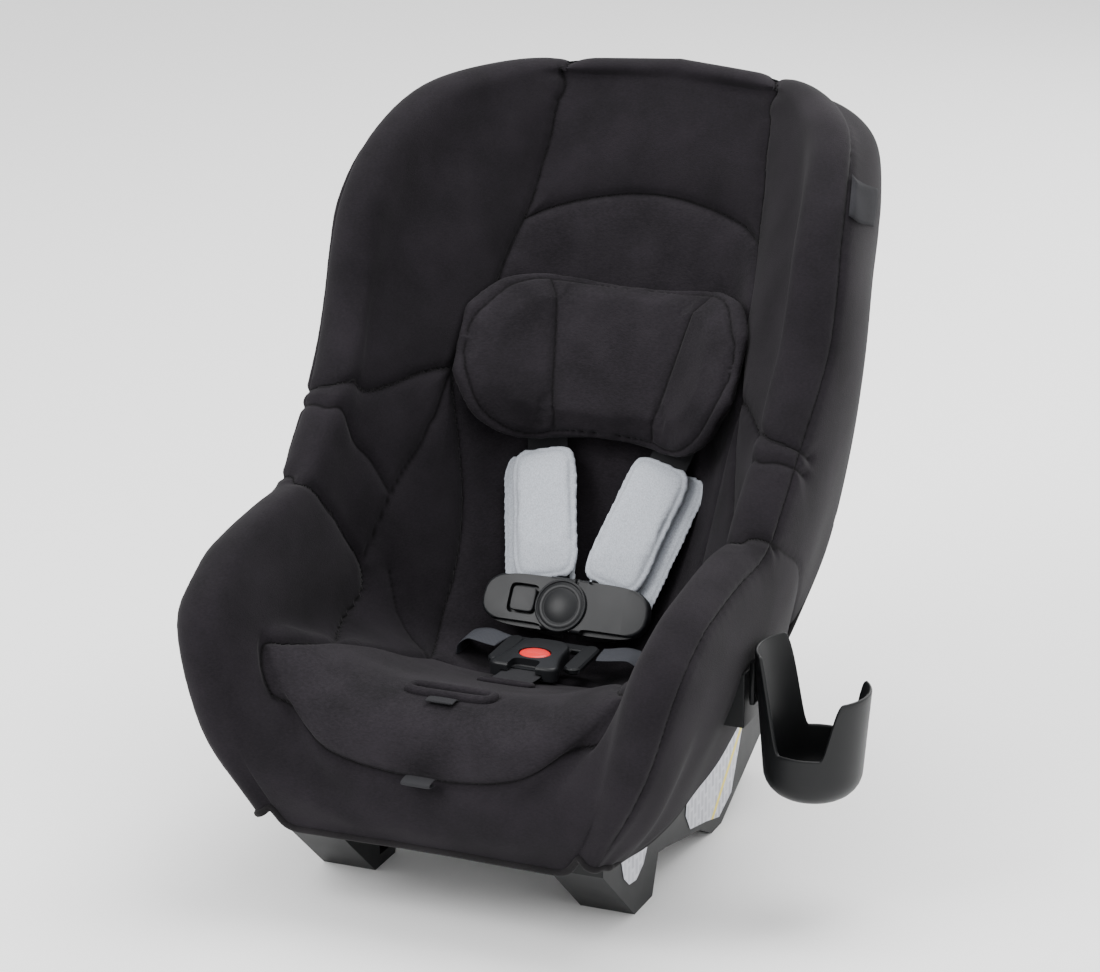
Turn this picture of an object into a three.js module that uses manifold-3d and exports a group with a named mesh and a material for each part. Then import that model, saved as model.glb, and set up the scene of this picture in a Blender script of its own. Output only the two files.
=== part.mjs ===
// Convertible child car seat: a moulded bucket on a base with two runners, wing foam, a padded
// cover sewn from panels, a five-point harness with chest clip and crotch buckle, a harness
// adjuster, a head pillow and a clip-on cup holder.
// Millimetres. +X is the child's left, +Y is the seat's back, +Z is up. The origin is on the floor,
// in the middle of the rear cross bar that the reclined seat rests on.
import * as THREE from "three";
import { mergeVertices } from "three/addons/utils/BufferGeometryUtils.js";
import Module from "manifold-3d";

const wasm = await Module();
wasm.setup();

// ---------------------------------------------------------------- driving dimensions
const GAP = 0.5; // clearance between pieces that touch
const LOOSE = 1.6; // play between the cover's pads and the bucket
const OUTER_CLOTH = 4; // thickness of the cover's outer side panels
const WALL = 4; // wall of the moulded bucket
const RUNNER_IN = 91; // inner face of a runner
const RUNNER_OUT = 138; // outer face of a runner
const FOOT_FRONT = -189; // front edge of a runner's foot
const WEBBING = 1.8; // thickness of the harness webbing
const STRAP = 38; // width of the harness webbing

const COLOURS = {
  cover: [0x2b282c, 0.9, 0],
  pad: [0xc5cad1, 0.95, 0],
  plastic: [0x1e1f20, 0.5, 0],
  foam: [0xe9e9e6, 0.9, 0],
  webbing: [0x2a2b2d, 0.8, 0],
  button: [0xfb3939, 0.4, 0],
  steel: [0xb8bbc0, 0.3, 1],
  label: [0xb9b9c3, 0.6, 0],
};

// ---------------------------------------------------------------- solids
const model = new THREE.Group();

function node(name, geometry, colour) {
  const [hex, roughness, metalness] = COLOURS[colour];
  const mesh = new THREE.Mesh(
    geometry,
    new THREE.MeshStandardMaterial({ color: hex, roughness, metalness }),
  );
  mesh.name = name;
  model.add(mesh);
  return mesh;
}

function solid(geometry) {
  const g = geometry.clone();
  for (const key of Object.keys(g.attributes)) if (key !== "position") g.deleteAttribute(key);
  const m = mergeVertices(g, 1e-4);
  return new wasm.Manifold(
    new wasm.Mesh({
      numProp: 3,
      vertProperties: new Float32Array(m.attributes.position.array),
      triVerts: new Uint32Array(m.index.array),
    }),
  );
}

function geometryOf(manifold) {
  const m = manifold.getMesh();
  const g = new THREE.BufferGeometry();
  g.setAttribute("position", new THREE.BufferAttribute(new Float32Array(m.vertProperties), 3));
  g.setIndex(new THREE.BufferAttribute(new Uint32Array(m.triVerts), 1));
  g.computeVertexNormals();
  return g;
}

const join = (first, ...rest) => geometryOf(rest.reduce((a, b) => a.add(solid(b)), solid(first)));
const cut = (first, ...rest) =>
  geometryOf(rest.reduce((a, b) => a.subtract(solid(b)), solid(first)));

const vec = (x, y, z) => new THREE.Vector3(x, y, z);
const range = (a, b, n) => Array.from({ length: n + 1 }, (_, i) => a + ((b - a) * i) / n);

function box(x0, x1, y0, y1, z0, z1) {
  const g = new THREE.BoxGeometry(x1 - x0, y1 - y0, z1 - z0);
  return g.translate((x0 + x1) / 2, (y0 + y1) / 2, (z0 + z1) / 2);
}

// A side-view outline of [y, z] points, extruded across from x0 to x1.
function sidePlate(outline, x0, x1) {
  const shape = new THREE.Shape(outline.map(([y, z]) => new THREE.Vector2(y, z)));
  const g = new THREE.ExtrudeGeometry(shape, { depth: x1 - x0, bevelEnabled: false });
  return g.applyMatrix4(new THREE.Matrix4().makeBasis(vec(0, 1, 0), vec(0, 0, 1), vec(1, 0, 0)))
    .translate(x0, 0, 0);
}

// A rounded rectangle, w wide and h high, extruded to a depth and centred on the origin.
function plate(w, h, depth, r, bevel = 0) {
  const s = new THREE.Shape();
  const [a, b] = [w / 2 - bevel, h / 2 - bevel];
  const q = Math.min(r, a, b) * 0.999;
  s.moveTo(-a + q, -b).lineTo(a - q, -b).absarc(a - q, -b + q, q, -Math.PI / 2, 0);
  s.lineTo(a, b - q).absarc(a - q, b - q, q, 0, Math.PI / 2);
  s.lineTo(-a + q, b).absarc(-a + q, b - q, q, Math.PI / 2, Math.PI);
  s.lineTo(-a, -b + q).absarc(-a + q, -b + q, q, Math.PI, Math.PI * 1.5);
  return new THREE.ExtrudeGeometry(s, {
    depth: depth - 2 * bevel,
    curveSegments: 3,
    bevelEnabled: bevel > 0,
    bevelThickness: bevel,
    bevelSize: bevel,
    bevelSegments: 1,
  }).translate(0, 0, -depth / 2 + bevel);
}

// Puts a piece drawn in its own frame (x across, y up its face, z out of its face) at a point.
function place(geometry, origin, across, up) {
  const x = across.clone().normalize();
  const y = up.clone().addScaledVector(x, -up.dot(x)).normalize();
  const z = x.clone().cross(y);
  return geometry.clone().applyMatrix4(new THREE.Matrix4().makeBasis(x, y, z).setPosition(origin));
}

// Webbing: a flat band that follows a list of points, with its face towards a given direction.
function band(points, width, thick, facing) {
  const n = points.length;
  const pos = [];
  for (let i = 0; i < n; i++) {
    const before = points[Math.max(i - 1, 0)];
    const after = points[Math.min(i + 1, n - 1)];
    const along = after.clone().sub(before).normalize();
    const face = (Array.isArray(facing) ? facing[i] : facing).clone();
    face.addScaledVector(along, -face.dot(along)).normalize();
    const side = along.clone().cross(face).multiplyScalar(width / 2);
    face.multiplyScalar(thick / 2);
    for (const [a, b] of [[-1, -1], [1, -1], [1, 1], [-1, 1]])
      pos.push(points[i].clone().addScaledVector(side, a).addScaledVector(face, b));
  }
  const index = [0, 1, 2, 0, 2, 3];
  for (let i = 0; i < n - 1; i++)
    for (let k = 0; k < 4; k++) {
      const a = 4 * i + k;
      const b = 4 * i + ((k + 1) % 4);
      index.push(a, a + 4, b, b, a + 4, b + 4);
    }
  const e = 4 * (n - 1);
  index.push(e, e + 2, e + 1, e, e + 3, e + 2);
  return outward(pos, index);
}

// Makes a geometry and turns its faces outwards if they point in.
function outward(points, index) {
  let volume = 0;
  for (let i = 0; i < index.length; i += 3) {
    const [a, b, c] = [points[index[i]], points[index[i + 1]], points[index[i + 2]]];
    volume += a.dot(b.clone().cross(c));
  }
  const order = volume < 0 ? index.slice().reverse() : index;
  const g = new THREE.BufferGeometry();
  g.setAttribute("position", new THREE.Float32BufferAttribute(points.flatMap((p) => [...p]), 3));
  g.setIndex(order);
  g.computeVertexNormals();
  return g;
}

// ---------------------------------------------------------------- the seat's surface
// The cover's face is a surface over stations u, from the front hem over the cushion, up the back
// to the middle of the top edge, and over v, from the centre line out to the piped edge and down
// the outside. Each station gives these points, right half only:
//   c  centre line          a  mid panel         s  seam beside the cushion or back panel
//   f  foot of the side     w  middle of it      r  piping on the outermost edge
//   o  outside panel        h  its hem           roll  radius of the padded edge
const STATIONS = [
  // front hem
  { c: [-288, 74], a: [25, -288, 74], s: [50, -289, 74], f: [95, -290, 74], w: [120, -290, 75],
    r: [148, -285, 82], o: [151, -279, 80], h: [150, -272, 78], roll: 11 },
  // front skirt
  { c: [-297, 100], a: [50, -298, 105], s: [90, -299, 116], f: [120, -301, 127],
    w: [147, -303, 138], r: [190, -295, 148], o: [187, -268, 125], h: [153, -250, 78], roll: 18 },
  // front seam of the cushion
  { c: [-292, 130], a: [88, -297, 151], s: [147, -263, 205], f: [156, -268, 213],
    w: [164, -279, 224], r: [214, -287, 228], o: [206, -240, 185], h: [159, -218, 78], roll: 22 },
  // crest of the cushion
  { c: [-281, 172], a: [85, -280, 180], s: [142, -235, 213], f: [158, -236, 222],
    w: [166, -240, 240], r: [217.5, -246, 259], o: [210, -200, 190], h: [165, -180, 84], roll: 22 },
  { c: [-236, 184], a: [75, -225, 186], s: [130, -196, 199], f: [157, -195, 206],
    w: [165, -198, 238], r: [217, -205, 270], o: [211, -160, 200], h: [168, -140, 94], roll: 21 },
  { c: [-170, 166], a: [65, -165, 168], s: [113, -150, 181], f: [156, -148, 188],
    w: [165, -150, 235], r: [216.5, -155, 276], o: [213, -110, 212], h: [173, -100, 106],
    roll: 21 },
  { c: [-100, 145], a: [60, -100, 147], s: [108, -100, 160], f: [155, -98, 183],
    w: [165, -100, 235], r: [217, -105, 281], o: [215, -60, 228], h: [179, -55, 132], roll: 21 },
  // bight
  { c: [-10, 124], a: [60, -15, 127], s: [112, -35, 150], f: [150, -55, 190], w: [170, -68, 250],
    r: [221, -66, 309], o: [218, -15, 258], h: [186, 0, 158], roll: 23 },
  { c: [40, 142], a: [65, 32, 150], s: [115, 0, 190], f: [146, -22, 232], w: [172, -45, 290],
    r: [223, -32, 340], o: [221, 25, 300], h: [191, 50, 190], roll: 25 },
  { c: [75, 200], a: [80, 67, 208], s: [120, 30, 250], f: [146, 8, 290], w: [175, -20, 340],
    r: [226, 2, 382], o: [224, 60, 345], h: [197, 98, 235], roll: 25 },
  // shoulders
  { c: [112, 280], a: [84, 107, 287], s: [125, 58, 330], f: [148, 35, 355], w: [180, 5, 385],
    r: [229, 25, 421], o: [227, 82, 392], h: [202, 135, 305], roll: 25 },
  { c: [145, 352], a: [82, 143, 357], s: [118, 108, 398], f: [145, 75, 410], w: [180, 38, 430],
    r: [229.5, 38, 458], o: [226, 98, 435], h: [204, 160, 375], roll: 25 },
  // head wings
  { c: [172, 415], a: [74, 171, 420], s: [110, 152, 452], f: [140, 110, 460], w: [176, 70, 475],
    r: [228, 55, 497], o: [222, 116, 478], h: [202, 182, 440], roll: 25 },
  { c: [191, 463], a: [60, 188, 468], s: [101, 185, 490], f: [133, 148, 503], w: [167, 112, 518],
    r: [219, 92, 537], o: [218, 148, 520], h: [198, 208, 492], roll: 23 },
  { c: [203, 492], a: [55, 203, 500], s: [94, 210, 536], f: [120, 188, 550], w: [145, 165, 563],
    r: [196, 152, 567], o: [197, 200, 555], h: [176, 243, 530], roll: 20 },
  // top edge
  { c: [212, 512], a: [45, 218, 525], s: [78, 228, 555], f: [96, 222, 567], w: [112, 212, 577],
    r: [147, 220, 577], o: [150, 252, 568], h: [136, 276, 540], roll: 16 },
  { c: [216, 521], a: [30, 226, 540], s: [52, 238, 562], f: [66, 241, 572], w: [78, 243, 579],
    r: [92, 259, 577], o: [90, 283, 568], h: [86, 296, 543], roll: 14 },
  { c: [219, 528], a: [0, 230, 547], s: [0, 241, 565], f: [0, 246, 574], w: [0, 249, 581],
    r: [0, 274, 580], o: [0, 295, 571], h: [0, 306, 548], roll: 14 },
];
const LAST = STATIONS.length - 1;
const V = { centre: 0, mid: 1, seam: 2, foot: 3, wall: 4, inner: 5, crest: 6, edge: 7, piping: 8,
  outside: 9, hem: 10 };

function catmull(list, t) {
  const i = Math.min(Math.max(Math.floor(t), 0), list.length - 2);
  const k = t - i;
  const p = (j) => list[Math.min(Math.max(j, 0), list.length - 1)];
  const [a, b, c, d] = [p(i - 1), p(i), p(i + 1), p(i + 2)];
  return b.map((_, n) => {
    const first = i === 0 ? 2 * b[n] - c[n] : a[n];
    const last = i === list.length - 2 ? 2 * c[n] - b[n] : d[n];
    return b[n] + 0.5 * k * (c[n] - first + k * (2 * first - 5 * b[n] + 4 * c[n] - last +
      k * (3 * (b[n] - c[n]) + last - first)));
  });
}

// Control points of every station's section, with the padded edge as a round roll.
const SECTIONS = STATIONS.map((st, i) => {
  const before = STATIONS[Math.max(i - 1, 0)].r;
  const after = STATIONS[Math.min(i + 1, LAST)].r;
  const along = i === LAST ? vec(-1, 0, 0) : vec(...after).sub(vec(...before)).normalize();
  const lift = vec(0, before[2] - after[2], after[1] - before[1]);
  if (i === LAST) lift.set(0, 0, 1);
  lift.addScaledVector(along, -lift.dot(along)).normalize();
  const inward = lift.clone().cross(along);
  const roll = (angle) => {
    const a = (angle * Math.PI) / 180;
    return [...vec(...st.r).addScaledVector(inward, st.roll * (1 - Math.cos(a)))
      .addScaledVector(lift, st.roll * Math.sin(a))];
  };
  return [[0, ...st.c], st.a, st.s, st.f, st.w, roll(135), roll(90), roll(45), st.r, st.o, st.h];
});

function coverPoint(u, v) {
  const side = v < 0 ? -1 : 1;
  const section = SECTIONS[0].map((_, k) => catmull(SECTIONS.map((s) => s[k]), u));
  // the section is mirrored about the centre line so that it is smooth there
  const [, second] = section;
  const full = [[-second[0], second[1], second[2]], ...section];
  const p = catmull(full, Math.abs(v) + 1);
  if (v === 0 || u === LAST) p[0] = 0;
  return vec(side * p[0], p[1], p[2]);
}

// How deep the bucket lies under the cover's face at each station: less where the front and the
// top are tightly curved, and close under the cloth on the outside.
const DEEP = [6, 7, 8, 10.5, 13, 14, 14, 15, 16.5, 18, 18, 18, 18, 16, 12.5, 9, 7, 7];

function bucketDepth(u, v) {
  const deep = catmull(DEEP.map((d) => [d]), u)[0];
  const out = Math.min(Math.max((Math.abs(v) - V.edge) / 2, 0), 1);
  return deep + (OUTER_CLOTH + GAP - deep) * out;
}

const padDepth = (u, v) => bucketDepth(u, v) - LOOSE;
const foamTop = (u, v) => 0.45 * bucketDepth(u, v);
const bucketBottom = (u, v) => bucketDepth(u, v) + WALL * Math.min(1, bucketDepth(u, v) / 6);

// A point of the cover moved away from the child by a depth, along the surface's normal.
function offset(u, v, depth) {
  const p = coverPoint(u, v);
  if (!depth) return p;
  const e = 0.02;
  if (u === LAST) {
    // on the top's centre line the two halves meet, and the surface runs straight across
    const a = Math.abs(v);
    const up = coverPoint(u, a + e).sub(coverPoint(u, Math.max(a - e, 0)));
    return p.addScaledVector(vec(-1, 0, 0).cross(up).normalize(), depth);
  }
  const along = coverPoint(Math.min(u + e, LAST), v).sub(coverPoint(Math.max(u - e, 0), v));
  const across = coverPoint(u, v + e).sub(coverPoint(u, v - e));
  const normal = along.cross(across).normalize();
  return p.addScaledVector(normal, depth);
}

// The closed solid between two grids of points: point(i, j, false) is its face, and
// point(i, j, true) its back. Diagonals are mirrored about column "centre".
function closed(point, nu, nv, centre = -1) {
  const index = [];
  const n = nu * nv;
  const quad = (a, b, c, d) => index.push(a, b, c, a, c, d);
  for (let i = 0; i < nu - 1; i++)
    for (let j = 0; j < nv - 1; j++) {
      const a = i * nv + j;
      const ring = [a, a + 1, a + nv + 1, a + nv];
      if (j < centre) ring.push(ring.shift());
      quad(...ring);
      quad(...ring.map((k) => n + k).reverse().map((_, k, r) => r[(k + 3) % 4]));
    }
  for (let i = 0; i < nu - 1; i++) {
    const a = i * nv;
    const b = a + nv - 1;
    quad(a, a + nv, n + a + nv, n + a);
    quad(b + nv, b, n + b, n + b + nv);
  }
  for (let j = 0; j < nv - 1; j++) {
    const b = (nu - 1) * nv + j;
    quad(j + 1, j, n + j, n + j + 1);
    quad(b, b + 1, n + b + 1, n + b);
  }
  const points = [false, true].flatMap((back) => range(0, nu - 1, nu - 1)
    .flatMap((i) => range(0, nv - 1, nv - 1).map((j) => point(i, j, back))));
  return outward(points, index);
}

// The closed solid between two depths of the cover, over stations us and section places vs.
function layer(us, vs, top, bottom) {
  const point = (i, j, back) => offset(us[i], vs[j], (back ? bottom : top)(us[i], vs[j]));
  return closed(point, us.length, vs.length, vs.filter((v) => v < 0).length);
}

const face = () => 0;

// The room that a layer needs: a little wider and deeper, to cut its neighbours clear of it.
function room(us, vs, bottom) {
  const wider = (list, by) => [list[0] - by, ...list.slice(1, -1), list[list.length - 1] + by];
  return layer(wider(us, SEAM / 2), wider(vs, SEAM / 2), () => -1, (u, v) => bottom(u, v) + GAP);
}

const mirror = (list) => list.map((v) => -v).reverse();
const both = (list) => [...mirror(list), ...list.slice(list[0] === 0 ? 1 : 0)];
const SEAM = 0.025; // half of a seam's gap, in stations

// Mirrors a right-hand geometry to the left.
function mirrored(geometry) {
  const m = geometry.index ? geometry.clone() : mergeVertices(geometry.clone(), 1e-4);
  const p = m.attributes.position;
  const points = Array.from({ length: p.count }, (_, i) => vec(-p.getX(i), p.getY(i), p.getZ(i)));
  return outward(points, [...m.index.array]);
}

// Adds a piece and its mirror image. "left" is the child's left, +X.
function pair(name, geometry, colour) {
  node(`${name}_left`, geometry, colour);
  node(`${name}_right`, mirrored(geometry), colour);
}

// ---------------------------------------------------------------- places along the harness
const HARNESS_UP = vec(0, 0.546, 0.838); // up the harness between clip and shoulders
const HARNESS_OUT = vec(0, -0.838, 0.546); // out of its face, towards the front
const CLIP = vec(0, -2, 180); // middle of the chest clip's front face
const PAD_TOP = vec(57, 88, 297);
const PAD_FOOT = vec(27, 20, 194);
const PAD_FRONT = 12; // thickness of the shoulder pad's front half
const PAD_REAR = 4.5;
const SLOT = vec(52, 150, 352); // shoulder slot in the back
const CROTCH = vec(0, -127, 150); // crotch slot in the cushion
const BUCKLE = vec(0, -62, 160); // middle of the buckle's front face
const BUCKLE_UP = vec(0, 1, 0.03); // from the crotch towards the tongues
const BUCKLE_OUT = vec(0, -0.03, 1);
const ADJUSTER = vec(0, -236, 185); // middle of the adjuster's slot in the cushion
const HIP = vec(84, -22, 140); // hip slot beside the bight

// ---------------------------------------------------------------- cut-outs for the webbing
const slotMiddle = SLOT.x + 3;
const shoulderSlot = (s) => box(s * slotMiddle - 28, s * slotMiddle + 28, 90, 240,
  SLOT.z - 24, SLOT.z + 6);
const crotchSlot = box(-24, 24, CROTCH.y - 8, CROTCH.y + 8, 90, 175);
const adjusterSlot = box(-40, 40, ADJUSTER.y - 15, ADJUSTER.y + 15, 120, 200);
const hipSlot = (s) => box(s * HIP.x - 8, s * HIP.x + 8, HIP.y - 17, HIP.y + 17, 100, 200);

// ---------------------------------------------------------------- padded cover
// Every layer is sampled at the same stations and section places, so that layers lie parallel.
const HALF_BACK = [0, 0.5, 1, 1.5, 2 - SEAM];
const SIDE = [2 + SEAM, 3, 4, 5, 6, 7, 8 - SEAM];
const OUTSIDE = [8 + SEAM, 8.5, 9, 9.5, 9.8, 10];
const SKIRT_U = [0, 0.5, 1, 1.5, 2 - SEAM];
const PAN_U = [2 + SEAM, 2.5, 3, 3.5, 4, 5, 6, 6.5 - SEAM];
const LOW_U = [6.5 + SEAM, 7, 7.5, 8, 9 - SEAM];
const WING_U = [9 + SEAM, 10, 11, 12, 13, 14, 15, 16 - SEAM];
const BACK_U = [6.5 + SEAM, 7, 7.5, 8, 9, 10, 11, 12, 13 - SEAM];
const HEAD_U = [13 + SEAM, 14, 15, 16, 16.5, LAST];
const ALL_U = [0, 0.5, 1, 1.5, 2, 2.5, 3, 3.5, 4, 5, 6, 6.5, 7, 7.5, 8, 9, 10, 11, 12, 13, 14, 15,
  16, 16.5, LAST];

const cushion = layer(PAN_U, both(HALF_BACK), face, padDepth);
node("seat_cushion", cut(cushion, crotchSlot, adjusterSlot), "cover");
const backPad = layer(BACK_U, both(HALF_BACK), face, padDepth);
const backSlots = [shoulderSlot(1), shoulderSlot(-1), hipSlot(1), hipSlot(-1)];
node("back_pad", cut(backPad, ...backSlots), "cover");

const wholeHalf = [...HALF_BACK, ...SIDE];
const skirt = layer(SKIRT_U, both(wholeHalf), face, padDepth);
node("front_skirt", cut(skirt, room(PAN_U, both(HALF_BACK), padDepth)), "cover");
pair("armrest_pad", layer(PAN_U, SIDE, face, padDepth), "cover");
const armrestRoom = room(PAN_U, SIDE, padDepth);
const wingRoom = room(WING_U, SIDE, padDepth);
pair("side_pad", cut(layer(LOW_U, SIDE, face, padDepth), armrestRoom, wingRoom), "cover");
pair("wing_pad", layer(WING_U, SIDE, face, (u, v) => foamTop(u, v) - GAP), "cover");
pair("wing_foam", layer(WING_U, SIDE, foamTop, padDepth), "foam");

// the head panel runs over the top edge, so its two halves meet on the centre line
const headDepth = (u, v) => 0.55 * padDepth(u, v);
const headBack = layer(HEAD_U, HALF_BACK, face, headDepth);
const headTop = layer([16 + SEAM, 16.5, LAST], [1.9, ...SIDE], face, headDepth);
const headHalf = join(headBack, headTop);
const headPanel = join(headHalf.clone().translate(-0.03, 0, 0),
  mirrored(headHalf).translate(0.03, 0, 0));
node("head_panel", headPanel, "cover");

const outerDepth = (u, v) => Math.min(bucketDepth(u, v) - GAP, OUTER_CLOTH);
const outerPanel = layer([...ALL_U.slice(0, -1), LAST - 0.01], OUTSIDE, face, outerDepth);
pair("outer_panel", outerPanel.translate(0.2, 0, 0), "cover");

// ---------------------------------------------------------------- moulded bucket
const BUCKET_V = [0, 0.5, 1, 1.5, 2, 3, 4, 5, 6, 7, 8, 8.5, 9, 9.5, 9.8];
const bucketHalf = layer(ALL_U, BUCKET_V, bucketDepth, bucketBottom);
const bucket = join(bucketHalf.clone().translate(-0.03, 0, 0),
  mirrored(bucketHalf).translate(0.03, 0, 0));
node("seat_shell", cut(bucket, crotchSlot, adjusterSlot, ...backSlots), "plastic");

// ---------------------------------------------------------------- base
// Two runners joined by three cross bars. The seat rests on the front feet and on the corner
// where the underside turns up to the rear.
const RUNNER = [[FOOT_FRONT, 0], [-150, 0], [-137, 33], [-121, 31], [-39, 14], [-12, 0], [12, 0],
  [88, 36], [150, 66], [150, 130], [80, 170], [20, 150], [-100, 150], [-200, 165], [-250, 165],
  [-258, 60]];
const runner = sidePlate(RUNNER, RUNNER_IN, RUNNER_OUT);
const pocket = sidePlate([[-180, 10], [-150, 10], [-137, 42], [-30, 24], [0, 10], [20, 14],
  [120, 62], [120, 92], [-180, 92]], RUNNER_IN + 5, RUNNER_OUT - 5);
const openRunner = cut(runner, pocket.translate(-14, 0, 0));
const restBar = box(-RUNNER_IN - 2, RUNNER_IN + 2, -10, 10, 0, 26);
const frontBar = box(-RUNNER_IN - 2, RUNNER_IN + 2, -205, -191, 84, 165);
const rearBar = box(-RUNNER_IN - 2, RUNNER_IN + 2, 118, 132, 64, 120);
const SADDLE_V = both([0, 0.5, 1, 1.5, 2, 3, 4, 5]);
const saddle = layer([1, 1.5, 2, 2.5, 3, 3.5, 4, 5, 6, 6.5, 7, 7.5, 8, 9, 10, 11], SADDLE_V,
  () => -60, (u, v) => bucketBottom(u, v) + GAP);
const above = box(-150, 150, -250, 60, 168, 230);
const SCREWS = [[-104, -110], [104, -110], [-104, 40], [104, 40]];
const POCKET_ROOF = 92;
const SCREW_HEAD = 9;
const SCREW_SHANK = 3;
const upright = (r, z0, z1, x, y, sides = 16) =>
  new THREE.CylinderGeometry(r, r, z1 - z0, sides).rotateX(Math.PI / 2)
    .translate(x, y, (z0 + z1) / 2);
const screwHoles = SCREWS.map(([x, y]) => upright(SCREW_SHANK + GAP, POCKET_ROOF - 4, 200, x, y,
  12));
node("base_frame", cut(join(openRunner, mirrored(openRunner), restBar, frontBar, rearBar), saddle,
  above, ...screwHoles), "plastic");

function screw(x, y) {
  const head = upright(SCREW_HEAD / 2, POCKET_ROOF - 4, POCKET_ROOF - GAP, x, y);
  return join(head, upright(SCREW_SHANK, POCKET_ROOF - 1, POCKET_ROOF + 16, x, y, 12));
}

// ---------------------------------------------------------------- harness webbing
// Each shoulder strap runs from the splitter plate up behind the bucket, through its slot and
// down between the two halves of its pad to the tongue.
const SPLITTER = vec(0, 108, 205);
const padAlong = PAD_TOP.clone().sub(PAD_FOOT).normalize();
const padPoint = (t, depth) => PAD_FOOT.clone().lerp(PAD_TOP, t).addScaledVector(HARNESS_OUT, -depth);
const strapDepth = PAD_FRONT + GAP + WEBBING / 2;
const shoulderRoute = [
  vec(20, SPLITTER.y + 8, SPLITTER.z + 6), vec(38, 158, 290), vec(SLOT.x, 182, SLOT.z - 16),
  vec(SLOT.x, 178, SLOT.z - 1), vec(SLOT.x, 160, SLOT.z), vec(SLOT.x + 4, 142, SLOT.z - 4),
  padPoint(1.25, strapDepth), padPoint(1, strapDepth), padPoint(0, strapDepth),
  padPoint(-0.16, strapDepth), vec(24, 10, 148),
];
const shoulderFaces = [
  vec(0, 0.9, -0.4), vec(0, 0.9, -0.4), vec(0, 1, 0.1), vec(0, 0.7, 0.7), vec(0, 0, 1),
  vec(0, -0.5, 1), ...Array(5).fill(HARNESS_OUT),
];
pair("shoulder_strap", band(shoulderRoute, STRAP - 2, WEBBING, shoulderFaces), "webbing");

const hipRoute = [vec(HIP.x, HIP.y, 112), vec(HIP.x, HIP.y, 136), vec(81, -23, 148),
  vec(71, -25, 154), vec(58, -28, 154.5), vec(44, -30, 153)];
const hipFaces = [vec(1, 0, 0), vec(1, 0, 0.1), vec(0.7, 0, 0.7), vec(0.2, 0, 1), vec(0, 0, 1),
  vec(0, 0, 1)];
pair("hip_strap", band(hipRoute, 30, WEBBING, hipFaces), "webbing");

const crotchRoute = [vec(0, CROTCH.y, 122), vec(0, CROTCH.y, 148), vec(0, CROTCH.y + 4, 155),
  vec(0, CROTCH.y + 22, 153.4), BUCKLE.clone().addScaledVector(BUCKLE_UP, -29)
    .addScaledVector(BUCKLE_OUT, -7)];
const crotchFaces = [vec(0, -1, 0), vec(0, -1, 0.1), vec(0, -0.6, 0.8), BUCKLE_OUT, BUCKLE_OUT];
node("crotch_strap", band(crotchRoute, STRAP - 4, WEBBING, crotchFaces), "webbing");
node("crotch_anchor_bar", place(plate(60, 14, 3, 3), vec(0, CROTCH.y, 119.5), vec(1, 0, 0),
  vec(0, 1, 0)), "steel");

// ---------------------------------------------------------------- shoulder pads
function padHalf(depth, thick, width, foot, top) {
  const middle = padPoint((foot + top) / 2, depth + thick / 2);
  const length = PAD_FOOT.distanceTo(PAD_TOP) * (top - foot);
  const across = padAlong.clone().cross(HARNESS_OUT);
  return place(plate(width, length, thick, 10, 2.5), middle, across, padAlong);
}
pair("shoulder_pad", padHalf(0, PAD_FRONT, 58, 0, 0.93), "pad");
pair("shoulder_pad_back", padHalf(strapDepth + WEBBING / 2 + GAP, PAD_REAR, 58, -0.1, 0.9)
  .translate(8, 0, 0), "pad");

// ---------------------------------------------------------------- chest clip
const CLIP_WIDE = 150;
const CLIP_HIGH = 42;
const CLIP_THICK = 10;
const CLIP_SPLIT = 6; // the two halves part a little to the child's left of the middle
const clipFrame = (g, x, up, out) => place(g, CLIP.clone().add(vec(x, 0, 0))
  .addScaledVector(HARNESS_UP, up).addScaledVector(HARNESS_OUT, out), vec(1, 0, 0), HARNESS_UP);
const halfWide = CLIP_WIDE / 2;
const clipBody = (w, x) => clipFrame(plate(w, CLIP_HIGH, CLIP_THICK, 15, 2), x, 0,
  -CLIP_THICK / 2);
const clipLip = (x) => clipFrame(plate(34, 5, 3, 2), x, CLIP_HIGH / 2 - 9, -CLIP_THICK - 1.4);
const clipRightWide = halfWide + CLIP_SPLIT;
const clipLeftWide = halfWide - CLIP_SPLIT - GAP;
const clipRightX = CLIP_SPLIT - clipRightWide / 2;
const clipLeftX = halfWide - clipLeftWide / 2;
const BUTTON_X = -38;
const DISC_R = 20.5; // round badge on the right half, lying over the joint between the halves
const clipDisc = clipFrame(new THREE.CylinderGeometry(DISC_R, DISC_R, 2.4, 32)
  .rotateX(Math.PI / 2), -3, 0, GAP + 1.2);
const discFoot = clipFrame(plate(16, 20, 3, 4), -8, 0, 0.4);
const tongueSlot = clipFrame(plate(30, 20, 5.4, 1), CLIP_SPLIT - 14.9, 0, -CLIP_THICK / 2);
const buttonHole = clipFrame(plate(23, 23, 6, 3), BUTTON_X, 2, -2.9);
node("chest_clip_right", cut(join(clipBody(clipRightWide, clipRightX), clipLip(-44), clipDisc,
  discFoot), tongueSlot, buttonHole), "plastic");
const clipTongue = clipFrame(plate(30, 18.6, 4, 1), CLIP_SPLIT - 12, 0, -CLIP_THICK / 2);
node("chest_clip_left", join(clipBody(clipLeftWide, clipLeftX), clipLip(44), clipTongue),
  "plastic");
node("chest_clip_button", clipFrame(plate(21.6, 21.6, 3.4, 3, 0.6), BUTTON_X, 2, -1.2), "plastic");

// ---------------------------------------------------------------- crotch buckle
const buckleFrame = (g, x, up, out) => place(g, BUCKLE.clone().add(vec(x, 0, 0))
  .addScaledVector(BUCKLE_UP, up).addScaledVector(BUCKLE_OUT, out), vec(1, 0, 0), BUCKLE_UP);
const BUCKLE_THICK = 13;
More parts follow.
